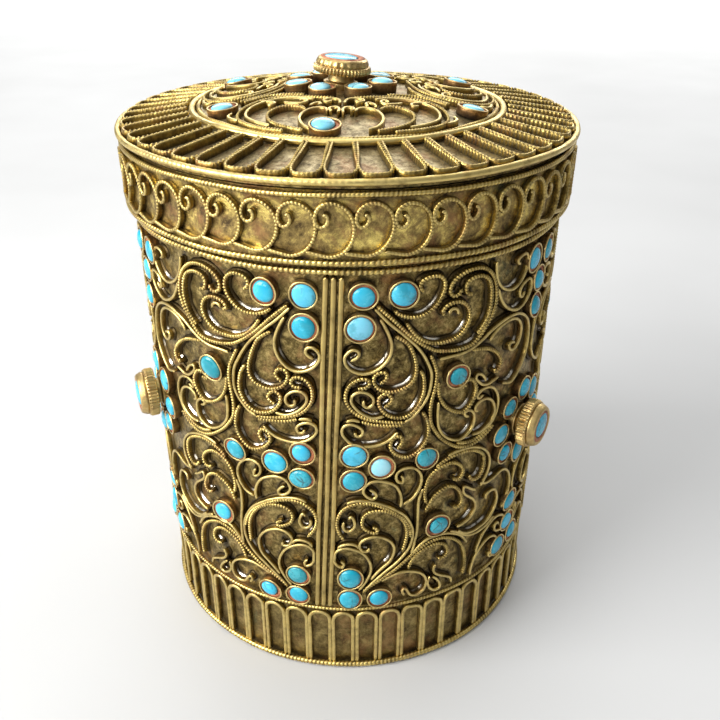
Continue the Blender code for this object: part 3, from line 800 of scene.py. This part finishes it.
def add_setting(cups, cements, stones, place, tint, tall=0.0, size=1.0):
    """A cup, its cement and its stone, each a little out of true."""
    lean = Matrix.Rotation(rng.normal(0.0, OUT_OF_TRUE), 4, "X")
    lean = lean @ Matrix.Rotation(rng.normal(0.0, OUT_OF_TRUE), 4, "Y")
    place = place @ Matrix.Translation((0.0, 0.0, tall)) @ lean
    grow = size * rng.uniform(0.95, 1.05)
    oval = rng.uniform(0.0, 0.045)
    phase = rng.uniform(0.0, TURN)
    cup = [(radius * grow, height) for radius, height in CUP_OUTLINE]
    cup[0] = (cup[0][0], cup[0][1] - tall)
    add_turned(cups, cup, place, 32, wear=CUP_WEAR_AND_SHADE, oval=oval, phase=phase, loop=True)
    ring = [(radius * grow, height) for radius, height in CEMENT_OUTLINE]
    add_turned(cements, ring, place, 32, oval=oval, phase=phase, loop=True)
    girth = STONE_RADIUS * grow * rng.uniform(0.88, 1.08)
    shift = Matrix.Translation((rng.normal(0.0, OFF_CENTRE), rng.normal(0.0, OFF_CENTRE), 0.0))
    crown = stone_outline(girth, STONE_LOW, STONE_LOW + rng.uniform(0.42, 0.62))
    add_turned(stones, crown, place @ shift, 28, tint=tint, oval=oval * 1.3, phase=phase)


# How deep each divider stone's colour is, from 0 for pale blue to 1 for teal
DIVIDER_TINTS = (0.42, 0.45, 0.28, 0.42, 0.6, 0.0, 0.66, 0.85, 0.66, 0.42, 0.78, 0.45)


def panel_tints():
    """Depths of colour for one panel's stones, in the order of their places."""
    tints = [max(tint, 0.4 * side) for tint in DIVIDER_TINTS for side in (0, 1)]
    tints += [0.5] * (len(BOSS_LINE_STONES) + BOSS_RING_STONES)
    return [float(np.clip(tint + rng.normal(0.0, 0.12), 0.0, 1.0)) for tint in tints]


# ==== The sleeve ====


def boss_place(side):
    """A boss's angle and height, from its bezel's node."""
    low, high = box_mm(f"boss_bezel_{side}")
    x, y, height = (low + high) / 2.0
    return math.atan2(y, x), height


def panel_places(side, start):
    """Frames on the sheet for one panel's stones."""
    places = []
    for arc, height in DIVIDER_STONES:
        places += [(arc, height), (PANEL_WIDTH - arc, height)]
    places += [(PANEL_WIDTH / 2.0 + arc, height) for arc, height in BOSS_LINE_STONES]
    made = []
    for arc, height in places:
        angle = start + (arc + LEAN * (height - LEAN_MIDDLE)) / SLEEVE
        made.append(facing(angle, SHEET, height))
    boss_angle, boss_height = boss_place(side)
    for i in range(BOSS_RING_STONES):
        turn = TURN * i / BOSS_RING_STONES
        height = boss_height + BOSS_RING * math.cos(turn)
        arc = BOSS_RING * math.sin(turn) + LEAN * (height - boss_height)
        made.append(facing(boss_angle + arc / SLEEVE, SHEET, height))
    return made


def nearest(spots, marks):
    """The distance from each spot to its nearest mark, up to 9 mm."""
    found = np.full(len(spots), 9.0)
    for some in np.array_split(marks, max(1, len(marks) // 60)):
        gaps = np.hypot(*np.moveaxis(spots[:, None] - some[None], -1, 0))
        found = np.minimum(found, gaps.min(1))
    return found


def dents(turn, height, depth):
    """Shallow dents in a hand-worked sheet, which repeat without a seam round the box."""
    round_wave = np.sin(61 * turn + 1.3 * np.sin(0.9 * height + 17 * turn))
    return depth * round_wave * np.sin(1.9 * height + 1.2 * np.sin(43 * turn + 0.5 * height))


SHEET_DENTS = 0.05
SHEET_COLUMNS, SHEET_ROWS = 90, 150


def add_half_sheet(shape, lay, paths, flip):
    """Half a panel's sheet, darker close to its wires: partly grime, partly painted shade in the recesses
    beside them.
    """
    arcs = np.linspace(0.0, PANEL_WIDTH / 2.0, SHEET_COLUMNS)
    arc, height = np.meshgrid(arcs, np.linspace(PANEL_LOW, PANEL_HIGH, SHEET_ROWS))
    marks = np.vstack([smooth_path(path, 0.6)[0] for path in paths])
    gap = nearest(np.stack((arc.ravel(), height.ravel()), -1), marks).reshape(arc.shape)
    # Grime and painted shade: the sheet darkens the nearer it lies to a wire
    wear = np.clip((gap - 0.25) / 1.7, 0.0, 1.0) * 0.62 + 0.06
    flat = lay(arc, height, 0.0)
    up = dents(np.arctan2(flat[..., 1], flat[..., 0]), height, SHEET_DENTS)
    shape.add(lay(arc, height, up), wear, flip=flip)


def make_panel(index):
    """A panel from one divider to the next: two mirrored halves and their stones."""
    side = PANELS[index]
    sheet, plain, beaded, feet = Shape(), Shape(), Shape(), Shape()
    for mirrored in (False, True):
        lay = sleeve(FRONT + (index + mirrored) * THIRD, mirrored)
        phases = rng.uniform(0.0, TURN, 4)
        drawn = []
        for pattern, shape, size, beads in (
            (PLAIN_PATTERN, plain, PLAIN, 0.0),
            (BEADED_PATTERN, beaded, BEADED, 1.0),
        ):
            for path in pattern:
                shifted = by_hand(path, phases)
                add_strip(shape, shifted, lay, size, beads, flip=mirrored)
                add_foot(feet, shifted, lay, size[0], mirrored)
                drawn.append(shifted)
        add_half_sheet(sheet, lay, drawn, not mirrored)
    node = f"filigree_panel_{side}"
    make_piece(f"panel_sheet_{side}", sheet, SHEET_BRASS, "box", (node,), weld=True)
    make_piece(f"panel_plain_wires_{side}", plain, WIRE_BRASS, "box")
    make_piece(f"panel_beaded_wires_{side}", beaded, WIRE_BRASS, "box")
    make_piece(f"panel_solder_{side}", feet, SOLDER, "box")
    cups, cements, stones = Shape(), Shape(), Shape()
    for place, tint in zip(panel_places(side, FRONT + index * THIRD), panel_tints()):
        add_setting(cups, cements, stones, place, tint)
    make_piece(f"panel_cups_{side}", cups, CUP_BRASS, "box")
    make_piece(f"panel_cement_{side}", cements, CEMENT, "box")
    make_piece(f"panel_stones_{side}", stones, TURQUOISE, "box", weld=True)


DIVIDER_PITCH = 1.13
DIVIDER_WIRE = (0.40, 1.05)
DIVIDER_LOW = box_mm("divider_front_wire_2")[0][2]
DIVIDER_HIGH = box_mm("divider_front_wire_2")[1][2]


def make_divider(index):
    """Three plain wires side by side."""
    wires = Shape()
    heights = np.linspace(DIVIDER_LOW, DIVIDER_HIGH, 12)
    for place in (-1, 0, 1):
        sway = SWAY * np.sin(0.21 * heights + 1.7 * place + index)
        points = np.stack((place * DIVIDER_PITCH + sway, heights), -1)
        add_strip(wires, points, sleeve(FRONT + index * THIRD), DIVIDER_WIRE)
    name = f"divider_{DIVIDERS[index]}_wire"
    nodes = [f"{name}_{number}" for number in (1, 2, 3)]
    make_piece(f"{name}s", wires, DIVIDER_BRASS, "box", nodes)


def fluting(count, depth, low, high):
    """Grooves round a turned piece, between two heights."""

    def ripple(turn, height):
        grooved = (height > low) & (height < high)
        return 1.0 - depth * grooved * (0.5 + 0.5 * np.cos(count * turn))

    return ripple


MOUNT_SIDES, BEZEL_SIDES = 240, 200
SEAT_SHIFT = -0.3


def make_jewel(name, parts, place, body, grooves, tint, nodes):
    """A stone in a bezel on a milled disc. parts is laid out like BOSS_PARTS."""
    mount, bezel, ring, stone, milled, fluted = parts
    disc, cup, paste, gem = Shape(), Shape(), Shape(), Shape()
    add_turned(disc, rounded(mount), place, MOUNT_SIDES, ripple=fluting(grooves, *milled))
    make_piece(f"{name}_mount", disc, BEZEL_BRASS, body, nodes[:1], weld=True, crease=40)
    ripple = fluting(grooves // 2, *fluted) if fluted else None
    add_turned(cup, rounded(bezel, 0.25, 4), place, BEZEL_SIDES, ripple=ripple)
    make_piece(f"{name}_bezel", cup, BEZEL_BRASS, body, nodes[1:2], weld=True, crease=50)
    add_turned(paste, ring, place, 60, oval=0.02, phase=0.7, loop=True)
    make_piece(f"{name}_cement", paste, CEMENT, body)
    seat = place @ Matrix.Translation((SEAT_SHIFT, 0.0, 0.0))
    add_turned(gem, stone, seat, 48, tint=tint, oval=0.02, phase=0.7)
    make_piece(f"{name}_stone", gem, TURQUOISE, body, nodes[2:3], weld=True)


# Heights are distances from the axis of the box. The last two rows are the depth, the lowest
# and the highest point of the milling on the disc and of the fluting on the bezel.
MILLING = 0.055
BOSS_PARTS = (
    ((0.0, 34.2), (2.8, 34.2), (2.8, 35.3), (2.2, 35.5), (2.2, 36.1), (4.0, 36.15), (4.15, 36.4),
     (4.15, 37.5), (3.9, 37.9), (0.0, 37.9)),
    ((0.0, 37.9), (3.7, 37.9), (3.75, 38.2), (3.45, 38.9), (3.25, 39.15), (2.85, 39.2),
     (2.65, 38.9), (0.0, 38.8)),
    ((2.85, 38.8), (2.8, 39.05), (2.55, 39.15), (2.2, 39.1), (1.9, 38.9)),
    stone_outline(2.2, 39.0, 39.45),
    (MILLING, 36.3, 37.7),
    None,
)


def make_boss(index):
    side = PANELS[index]
    angle, height = boss_place(side)
    place = facing(angle, 0.0, height)
    nodes = [f"boss_{part}_{side}" for part in ("mount", "bezel", "stone")]
    make_jewel(f"boss_{side}", BOSS_PARTS, place, "box", 44, 0.45, nodes)


# ==== Foot and shells ====

PETALS = 54
PETAL_HALF = 1.66
PETAL_LOW, PETAL_HIGH = 1.2, 12.9
PETAL_STEPS = (5.0, 8.5)
PETAL_WIRE = (0.34, 0.85)


def band_grid(low, high, columns, rows):
    """Angles and heights (or radii) of a band's grid, closed round the box."""
    return np.meshgrid(np.linspace(0.0, TURN, columns), np.linspace(low, high, rows))


def wear_between(turn, pitch, most, start):
    """Wear and painted shade of a sheet between upright wires: worn in the middle, darker beside them,
    partly grime and partly painted shade cast by the wires.
    """
    aside = np.abs(((turn - FRONT) / pitch) % 1.0 - 0.5) * 2.0
    return most - 0.55 * np.clip((aside - start) / 0.5, 0.0, 1.0)


def make_petal_band():
    """Tall arches of plain wire on a sheet band."""
    pitch = TURN / PETALS
    wires, sheet = Shape(), Shape()
    shoulder = PETAL_HIGH - PETAL_HALF
    side = (PETAL_LOW, *PETAL_STEPS, shoulder)
    for i in range(PETALS):
        lay = upright(SHEET, FRONT + (i + 0.5) * pitch)
        half = PETAL_HALF + rng.normal(0.0, 0.05)
        drift = rng.normal(0.0, 0.06)
        points = [(-half, height) for height in side]
        for turn in np.radians((30, 60, 90, 120, 150)):
            rise = (PETAL_HALF + rng.normal(0.0, 0.06)) * math.sin(turn)
            points.append((-half * math.cos(turn) + drift, shoulder + rise))
        points += [(half, height) for height in side[::-1]]
        add_strip(wires, points, lay, PETAL_WIRE)
    turn, height = band_grid(0.6, PANEL_LOW + 0.5, 433, 14)
    grid = upright(SHEET)(turn * SHEET, height, dents(turn, height, SHEET_DENTS))
    sheet.add(grid, wear_between(turn, pitch, 0.72, 0.35), flip=True)
    make_piece("petal_sheet", sheet, PETAL_BRASS, "box", weld=True)
    make_piece("petal_wires", wires, WIRE_BRASS, "box", ("petal_band",))


def make_rope_ring(node, body, pitch, depth=0.3):
    rope = Shape()
    add_rope(rope, *ring_of(node), pitch, depth)
    make_piece(f"{node}_strands", rope, ROPE_BRASS, body, (node,))


def shell(name, node, outline, body, material=INNER_BRASS):
    """A plain sheet part, turned from its outline."""
    made = Shape()
    add_turned(made, outline, Matrix.Identity(4), 180, wear=0.62)
    make_piece(name, made, material, body, (node,), weld=True, crease=45)


WALL_THICK = 0.8
SKIRT_THICK = 0.7
EDGE = 0.15


def make_box_shells():
    low, high = box_mm("wall")
    outer = high[0]
    inner = outer - WALL_THICK
    top = high[2]
    wall = (
        (inner, low[2]), (outer, low[2]), (outer, 40.0), (outer, top - EDGE), (outer - EDGE, top),
        (inner + EDGE, top), (inner, top - EDGE), (inner, 40.0), (inner, low[2]),
    )
    shell("wall_shell", "wall", wall, "box")
    high = box_mm("base_plate")[1]
    rim = high[0]
    top = high[2]
    base = (
        (0.0, 0.0), (15.0, 0.0), (rim - EDGE, 0.0), (rim, EDGE), (rim, top - EDGE),
        (rim - EDGE, top), (15.0, top), (0.0, top),
    )
    shell("base_disc", "base_plate", base, "box")


# ==== The lid ====


def make_lid_shells():
    dome = np.linspace(0.0, DOME_RADIUS, 16)
    cone = np.linspace(DOME_RADIUS + 0.1, CONE_RADIUS, 5)
    upper = [(radius, float(lid_height(radius))) for radius in (*dome, *cone)]
    lower = [(radius, height - LID_SHEET) for radius, height in upper]
    shell("lid_top_shell", "lid_top", lower + upper[::-1], "lid", SHEET_BRASS)
    low, high = box_mm("lid_skirt")
    outer = high[0]
    inner = outer - SKIRT_THICK
    skirt = (
        (inner, low[2]), (outer, low[2]), (outer, high[2]), (inner, high[2]), (inner, low[2]),
    )
    shell("lid_skirt_shell", "lid_skirt", skirt, "lid", SKIRT_BRASS)


SCROLLS = 45
SCROLL_SHEET = 35.75
# Point by point as x,z, from under the scroll before to the curl's inner end
SCROLL_PATH = (
    -3.7,78.95, -2.2,78.7, -0.4,78.5, 1.2,79.1, 2.3,80.6, 2.6,82.4, 2.15,84.1, 1,85.2, -0.5,85.5,
    -1.7,84.9, -2.25,83.9, -2.2,82.9, -1.6,82.35, -0.9,82.6, -0.6,83.3, -0.8,83.9, -1.25,83.9,
)
SCROLL_WIRE = (0.29, 0.95)
SCROLL_BEADS = ((0.0, 0.3, 0.7, 1.0), (0.2, 0.6, 0.6, 0.2))


def make_scroll_band():
    """Overlapping scrolls of beaded wire, each starting under the one before it."""
    wires, sheet = Shape(), Shape()
    pitch = TURN / SCROLLS
    for i in range(SCROLLS):
        lay = upright(SCROLL_SHEET, FRONT + (i + 0.3) * pitch)
        path = by_hand(pairs(SCROLL_PATH), rng.uniform(0.0, TURN, 4), 0.09)
        add_strip(wires, path, lay, SCROLL_WIRE, SCROLL_BEADS)
    low, high = box_mm("scroll_band")
    turn, height = band_grid(low[2] - 0.9, high[2] + 0.9, 601, 24)
    # The sheet darkens toward its top and bottom edges, under the ropes: partly grime, partly painted
    # shade
    edge = np.minimum(height - low[2], high[2] - height)
    wear = 0.24 + 0.50 * np.clip(edge / 1.4, 0.0, 1.0)
    grid = upright(SCROLL_SHEET)(turn * SCROLL_SHEET, height, dents(turn, height, 0.08))
    sheet.add(grid, wear, flip=True)
    make_piece("scroll_sheet", sheet, SKIRT_BRASS, "lid", weld=True)
    make_piece("scroll_wires", wires, WIRE_BRASS, "lid", ("scroll_band",))


RAYS = 48
RAY_INNER, RAY_WAIST, RAY_OUTER = 25.5, 29.0, 35.65
RAY_LIFT = 0.25
RAY_FINE, FINE_PITCH = (0.20, 1.2), 0.6
RAY_BEADED, RAY_PITCH = (0.27, 1.25), 0.65


def make_ray_band():
    """Radial loops with round outer ends: one side of a loop is fine and the other beaded."""
    wires, sheet = Shape(), Shape()
    pitch = TURN / RAYS
    near = RAY_INNER * pitch * 0.5 - 0.24
    tip = RAY_OUTER - 0.25
    for i in range(RAYS):
        far = RAY_OUTER * pitch * 0.5 - 0.27 + rng.normal(0.0, 0.05)
        shoulder = RAY_OUTER - far * 0.8
        drift = rng.normal(0.0, 0.08)
        waist = near + (far - near) * 0.42
        points = [(RAY_INNER, -near), (RAY_WAIST, -waist), (shoulder, -far), (tip, -far * 0.72)]
        points += [(RAY_OUTER, drift), (tip, far * 0.72), (shoulder, far)]
        points += [(RAY_WAIST, waist), (RAY_INNER, near)]
        lay = on_lid(FRONT + (i + 0.5) * pitch, RAY_LIFT)
        add_strip(wires, points[:6], lay, RAY_FINE, 0.5, FINE_PITCH)
        add_strip(wires, points[5:], lay, RAY_BEADED, 1.5, RAY_PITCH)
    turn, radius = band_grid(RAY_INNER - 0.7, RAY_OUTER + 0.3, 433, 16)
    grid = polar(radius, turn, lid_height(radius) + RAY_LIFT)
    sheet.add(grid, wear_between(turn, pitch, 0.66, 0.40))
    make_piece("ray_sheet", sheet, LID_BRASS, "lid", weld=True)
    make_piece("ray_wires", wires, WIRE_BRASS, "lid", ("ray_band",))


# Half a fan of the rosette, point by point as x,y: the lid's axis is at 0,0 and the fan along -Y
FAN_BEADED = (
    (-1.6,-9.8, -4.6,-9, -8,-8.3, -11.4,-8.9, -14,-10.9, -15.2,-13.8, -15,-16.6, -13.4,-18.8, -10.8,-20.7,
     -7.8,-21.9),
    (-5.4,-14.8, -6.2,-13.6, -7.8,-13, -9.4,-13.8, -10.4,-15.6, -10.2,-17.8, -9,-19.6, -7,-21, -5.2,-21.9),
    (-6.4,-7.4, -8.6,-6.9, -11.2,-7, -13.6,-8.1, -15.4,-9.3),
)
FAN_PLAIN = (
    (-4.6,-10.4, -7,-9.4, -9.8,-9.5, -12.4,-11, -13.9,-13.4, -13.8,-16.2, -12.2,-18.4, -9.8,-20.2),
    (-1.9,-16, -2.2,-15, -3.2,-14.4, -4.5,-14.8, -5.5,-16.1, -5.9,-17.9, -5.5,-19.9, -4.9,-21, -3.9,-21.9),
    (-0.4,-12.9, -0.5,-11.6, -1,-10.7, -2,-10.4, -2.9,-10.9, -2.9,-11.7, -2.2,-12, -1.7,-11.5),
    (-0.3,-16.6, -0.2,-15.3, -0.7,-14.5, -1.5,-14.6, -1.7,-15.3, -1.2,-15.8),
    (-8.9,-11.5, -7.7,-12, -6.5,-12.2, -5.6,-11.6, -5.7,-10.9, -6.4,-10.7, -6.8,-11.2),
    (-4.9,-13.6, -4.4,-12.6, -3.7,-12.2, -3.3,-12.8, -3.7,-13.4),
    (-14.9,-17.4, -16,-16.4, -16.6,-15.2, -16.2,-14.3),
    (-12.6,-10.2, -11.2,-10.6, -10.2,-11.4, -10.4,-12.2, -11.2,-12.1),
)
FAN_TURN = math.radians(-3.5)
FAN_WIRE = (0.24, 1.0)


def make_rosette():
    """Three fans of scrolls on a domed sheet."""
    plain, beaded, sheet = Shape(), Shape(), Shape()
    for fan in range(3):
        lay = on_lid(LID_TURN + FAN_TURN + fan * THIRD, ROSETTE_LIFT)
        for side in (1.0, -1.0):
            phases = rng.uniform(0.0, TURN, 4)
            for paths, shape, beads in ((FAN_PLAIN, plain, 0.0), (FAN_BEADED, beaded, 1.0)):
                for path in paths:
                    drawn = by_hand(pairs(path) * (side, 1.0), phases, 0.12)
                    add_strip(shape, drawn, lay, FAN_WIRE, beads)
    turn, radius = band_grid(3.0, 23.4, 241, 40)
    sheet.add(polar(radius, turn, lid_height(radius) + ROSETTE_LIFT), 0.6)
    make_piece("rosette_floor", sheet, LID_BRASS, "lid", ("rosette_sheet",), weld=True)
    make_piece("rosette_plain_wires", plain, WIRE_BRASS, "lid")
    make_piece("rosette_beaded_wires", beaded, WIRE_BRASS, "lid")


def lid_places():
    """Frames for the stones round the finial and the outer stones, from their nodes' middles."""
    places = {}
    for name in sorted(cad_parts):
        if name.startswith(("lid_ring_stone", "lid_outer_stone")):
            low, high = box_mm(name)
            x, y = (low[:2] + high[:2]) / 2.0
            places[name] = on_dome(math.hypot(x, y), math.atan2(y, x))
    return places


def make_lid_settings():
    cups, cements, stones = Shape(), Shape(), Shape()
    places = lid_places()
    for name, place in places.items():
        tall, size = (0.4, 1.0) if name.startswith("lid_ring") else (0.0, 1.06)
        # The lid's stones get pale tints: partly their own pale blue, partly a painted reflection of the
        # bright sky they face
        add_setting(cups, cements, stones, place, rng.uniform(0.02, 0.18), tall, size)
    make_piece("lid_cups", cups, BEZEL_BRASS, "lid")
    make_piece("lid_cement", cements, CEMENT, "lid")
    make_piece("lid_stones", stones, TURQUOISE, "lid", tuple(places), weld=True)


# Heights are measured from the finial's foot
FINIAL_FOOT = 92.65
FINIAL_DISC = 2.95
FINIAL_LEAN = math.radians(5.0)
FINIAL_PARTS = (
    ((0.0, -0.2), (2.8, -0.2), (2.8, 1.0), (2.1, 1.2), (2.1, 2.4), (4.4, 2.5), (4.6, 2.8),
     (4.6, 3.3), (4.3, 3.6), (0.0, 3.6)),
    ((0.0, 3.6), (4.1, 3.6), (4.2, 3.9), (3.9, 4.5), (3.6, 4.7), (3.2, 4.7), (3.05, 4.5),
     (0.0, 4.4)),
    ((3.6, 4.55), (3.45, 4.76), (3.1, 4.84), (2.7, 4.78), (2.3, 4.6)),
    stone_outline(2.6, 4.70, 5.05),
    (MILLING, 2.55, 3.4),
    (0.035, 3.7, 4.4),
)


def make_finial():
    low, high = box_mm("finial_mount")
    foot = (low[0] + high[0]) / 2.0 - FINIAL_DISC * math.sin(FINIAL_LEAN)
    place = Matrix.Translation((foot, 0.0, FINIAL_FOOT)) @ Matrix.Rotation(FINIAL_LEAN, 4, "Y")
    nodes = ("finial_mount", "finial_bezel", "finial_stone")
    make_jewel("lid_finial", FINIAL_PARTS, place, "lid", 48, 0.2, nodes)


def make_lid_rings():
    rim, border = Shape(), Shape()
    radius, height, wire = ring_of("rim_wire")
    add_ring_wire(rim, radius - 0.1, height + 0.2, wire + 0.05, notched=True)
    make_piece("rim_wire_ring", rim, ROPE_BRASS, "lid", ("rim_wire",))
    add_ring_wire(border, *ring_of("rosette_border_wire"), notched=False)
    make_piece("rosette_border_ring", border, ROPE_BRASS, "lid", ("rosette_border_wire",))


# ==== Stage and camera ====


def add_light(name, size, power, place, target=(0.0, 0.0, 0.045), colour=(1.0, 1.0, 1.0)):
    data = bpy.data.lights.new(name, "AREA")
    data.shape = "RECTANGLE"
    data.size, data.size_y = size
    data.energy = power
    data.color = colour
    light = bpy.data.objects.new(name, data)
    light.location = place
    aim = Vector(target) - Vector(place)
    light.rotation_euler = aim.to_track_quat("-Z", "Y").to_euler()
    link_in(light)


def make_stage():
    mesh = bpy.data.meshes.new("floor")
    grid = bmesh.new()
    bmesh.ops.create_grid(grid, x_segments=4, y_segments=4, size=3.0)
    grid.to_mesh(mesh)
    grid.free()
    mesh.materials.append(floor_finish())
    floor = bpy.data.objects.new("floor", mesh)
    link_in(floor)
    world = bpy.data.worlds.new("studio")
    bpy.context.scene.world = world
    world.use_nodes = True
    background = world.node_tree.nodes["Background"]
    background.inputs["Color"].default_value = (0.96, 0.98, 1.0, 1.0)
    background.inputs["Strength"].default_value = 0.37
    add_light("sky", (1.6, 1.6), 10.5, (-0.20, 0.80, 1.30), target=(0.0, 0.40, 0.0))
    add_light("backdrop", (2.4, 1.0), 42.0, (0.0, 1.60, 0.80), target=(0.0, 1.60, 0.0))
    add_light("key", (0.42, 0.42), 7.2, (-0.48, -0.28, 0.33))
    add_light("ceiling", (0.6, 0.6), 1.2, (-0.12, -0.20, 0.60))
    add_light("front_fill", (0.22, 0.16), 0.8, (-0.22, -0.55, 0.24), colour=(1.0, 0.98, 0.94))
    bpy.context.scene.view_settings.view_transform = "Standard"


CAMERA_PLACE = Vector((12.52, -134.82, 118.3)) * MM
CAMERA_TILT = math.radians(60.87)
CAMERA_TURN = math.radians(4.43)
CAMERA_ROLL = 0.0038
CAMERA_LENS = 40.89


def make_camera():
    data = bpy.data.cameras.new("camera")
    data.lens = CAMERA_LENS
    data.sensor_width = 36.0
    data.clip_start = 0.005
    camera = bpy.data.objects.new("camera", data)
    turn = Matrix.Rotation(CAMERA_TURN, 4, "Z") @ Matrix.Rotation(CAMERA_TILT, 4, "X")
    camera.matrix_world = Matrix.Translation(CAMERA_PLACE) @ turn @ Matrix.Rotation(CAMERA_ROLL, 4, "Z")
    link_in(camera)
    bpy.context.scene.camera = camera


make_camera()
make_stage()
make_box_shells()
make_petal_band()
for index in range(3):
    make_panel(index)
    make_divider(index)
    make_boss(index)
make_rope_ring("foot_rope", "box", 0.7, 0.22)
make_rope_ring("petal_rope", "box", 0.6)
make_rope_ring("lid_stop_rope", "box", 0.75)
make_lid_shells()
make_scroll_band()
make_ray_band()
make_rosette()
make_lid_settings()
make_finial()
make_lid_rings()
make_rope_ring("skirt_lower_rope", "lid", 0.75)
make_rope_ring("skirt_upper_rope", "lid", 0.6, 0.16)
make_rope_ring("rosette_border_rope", "lid", 0.55)
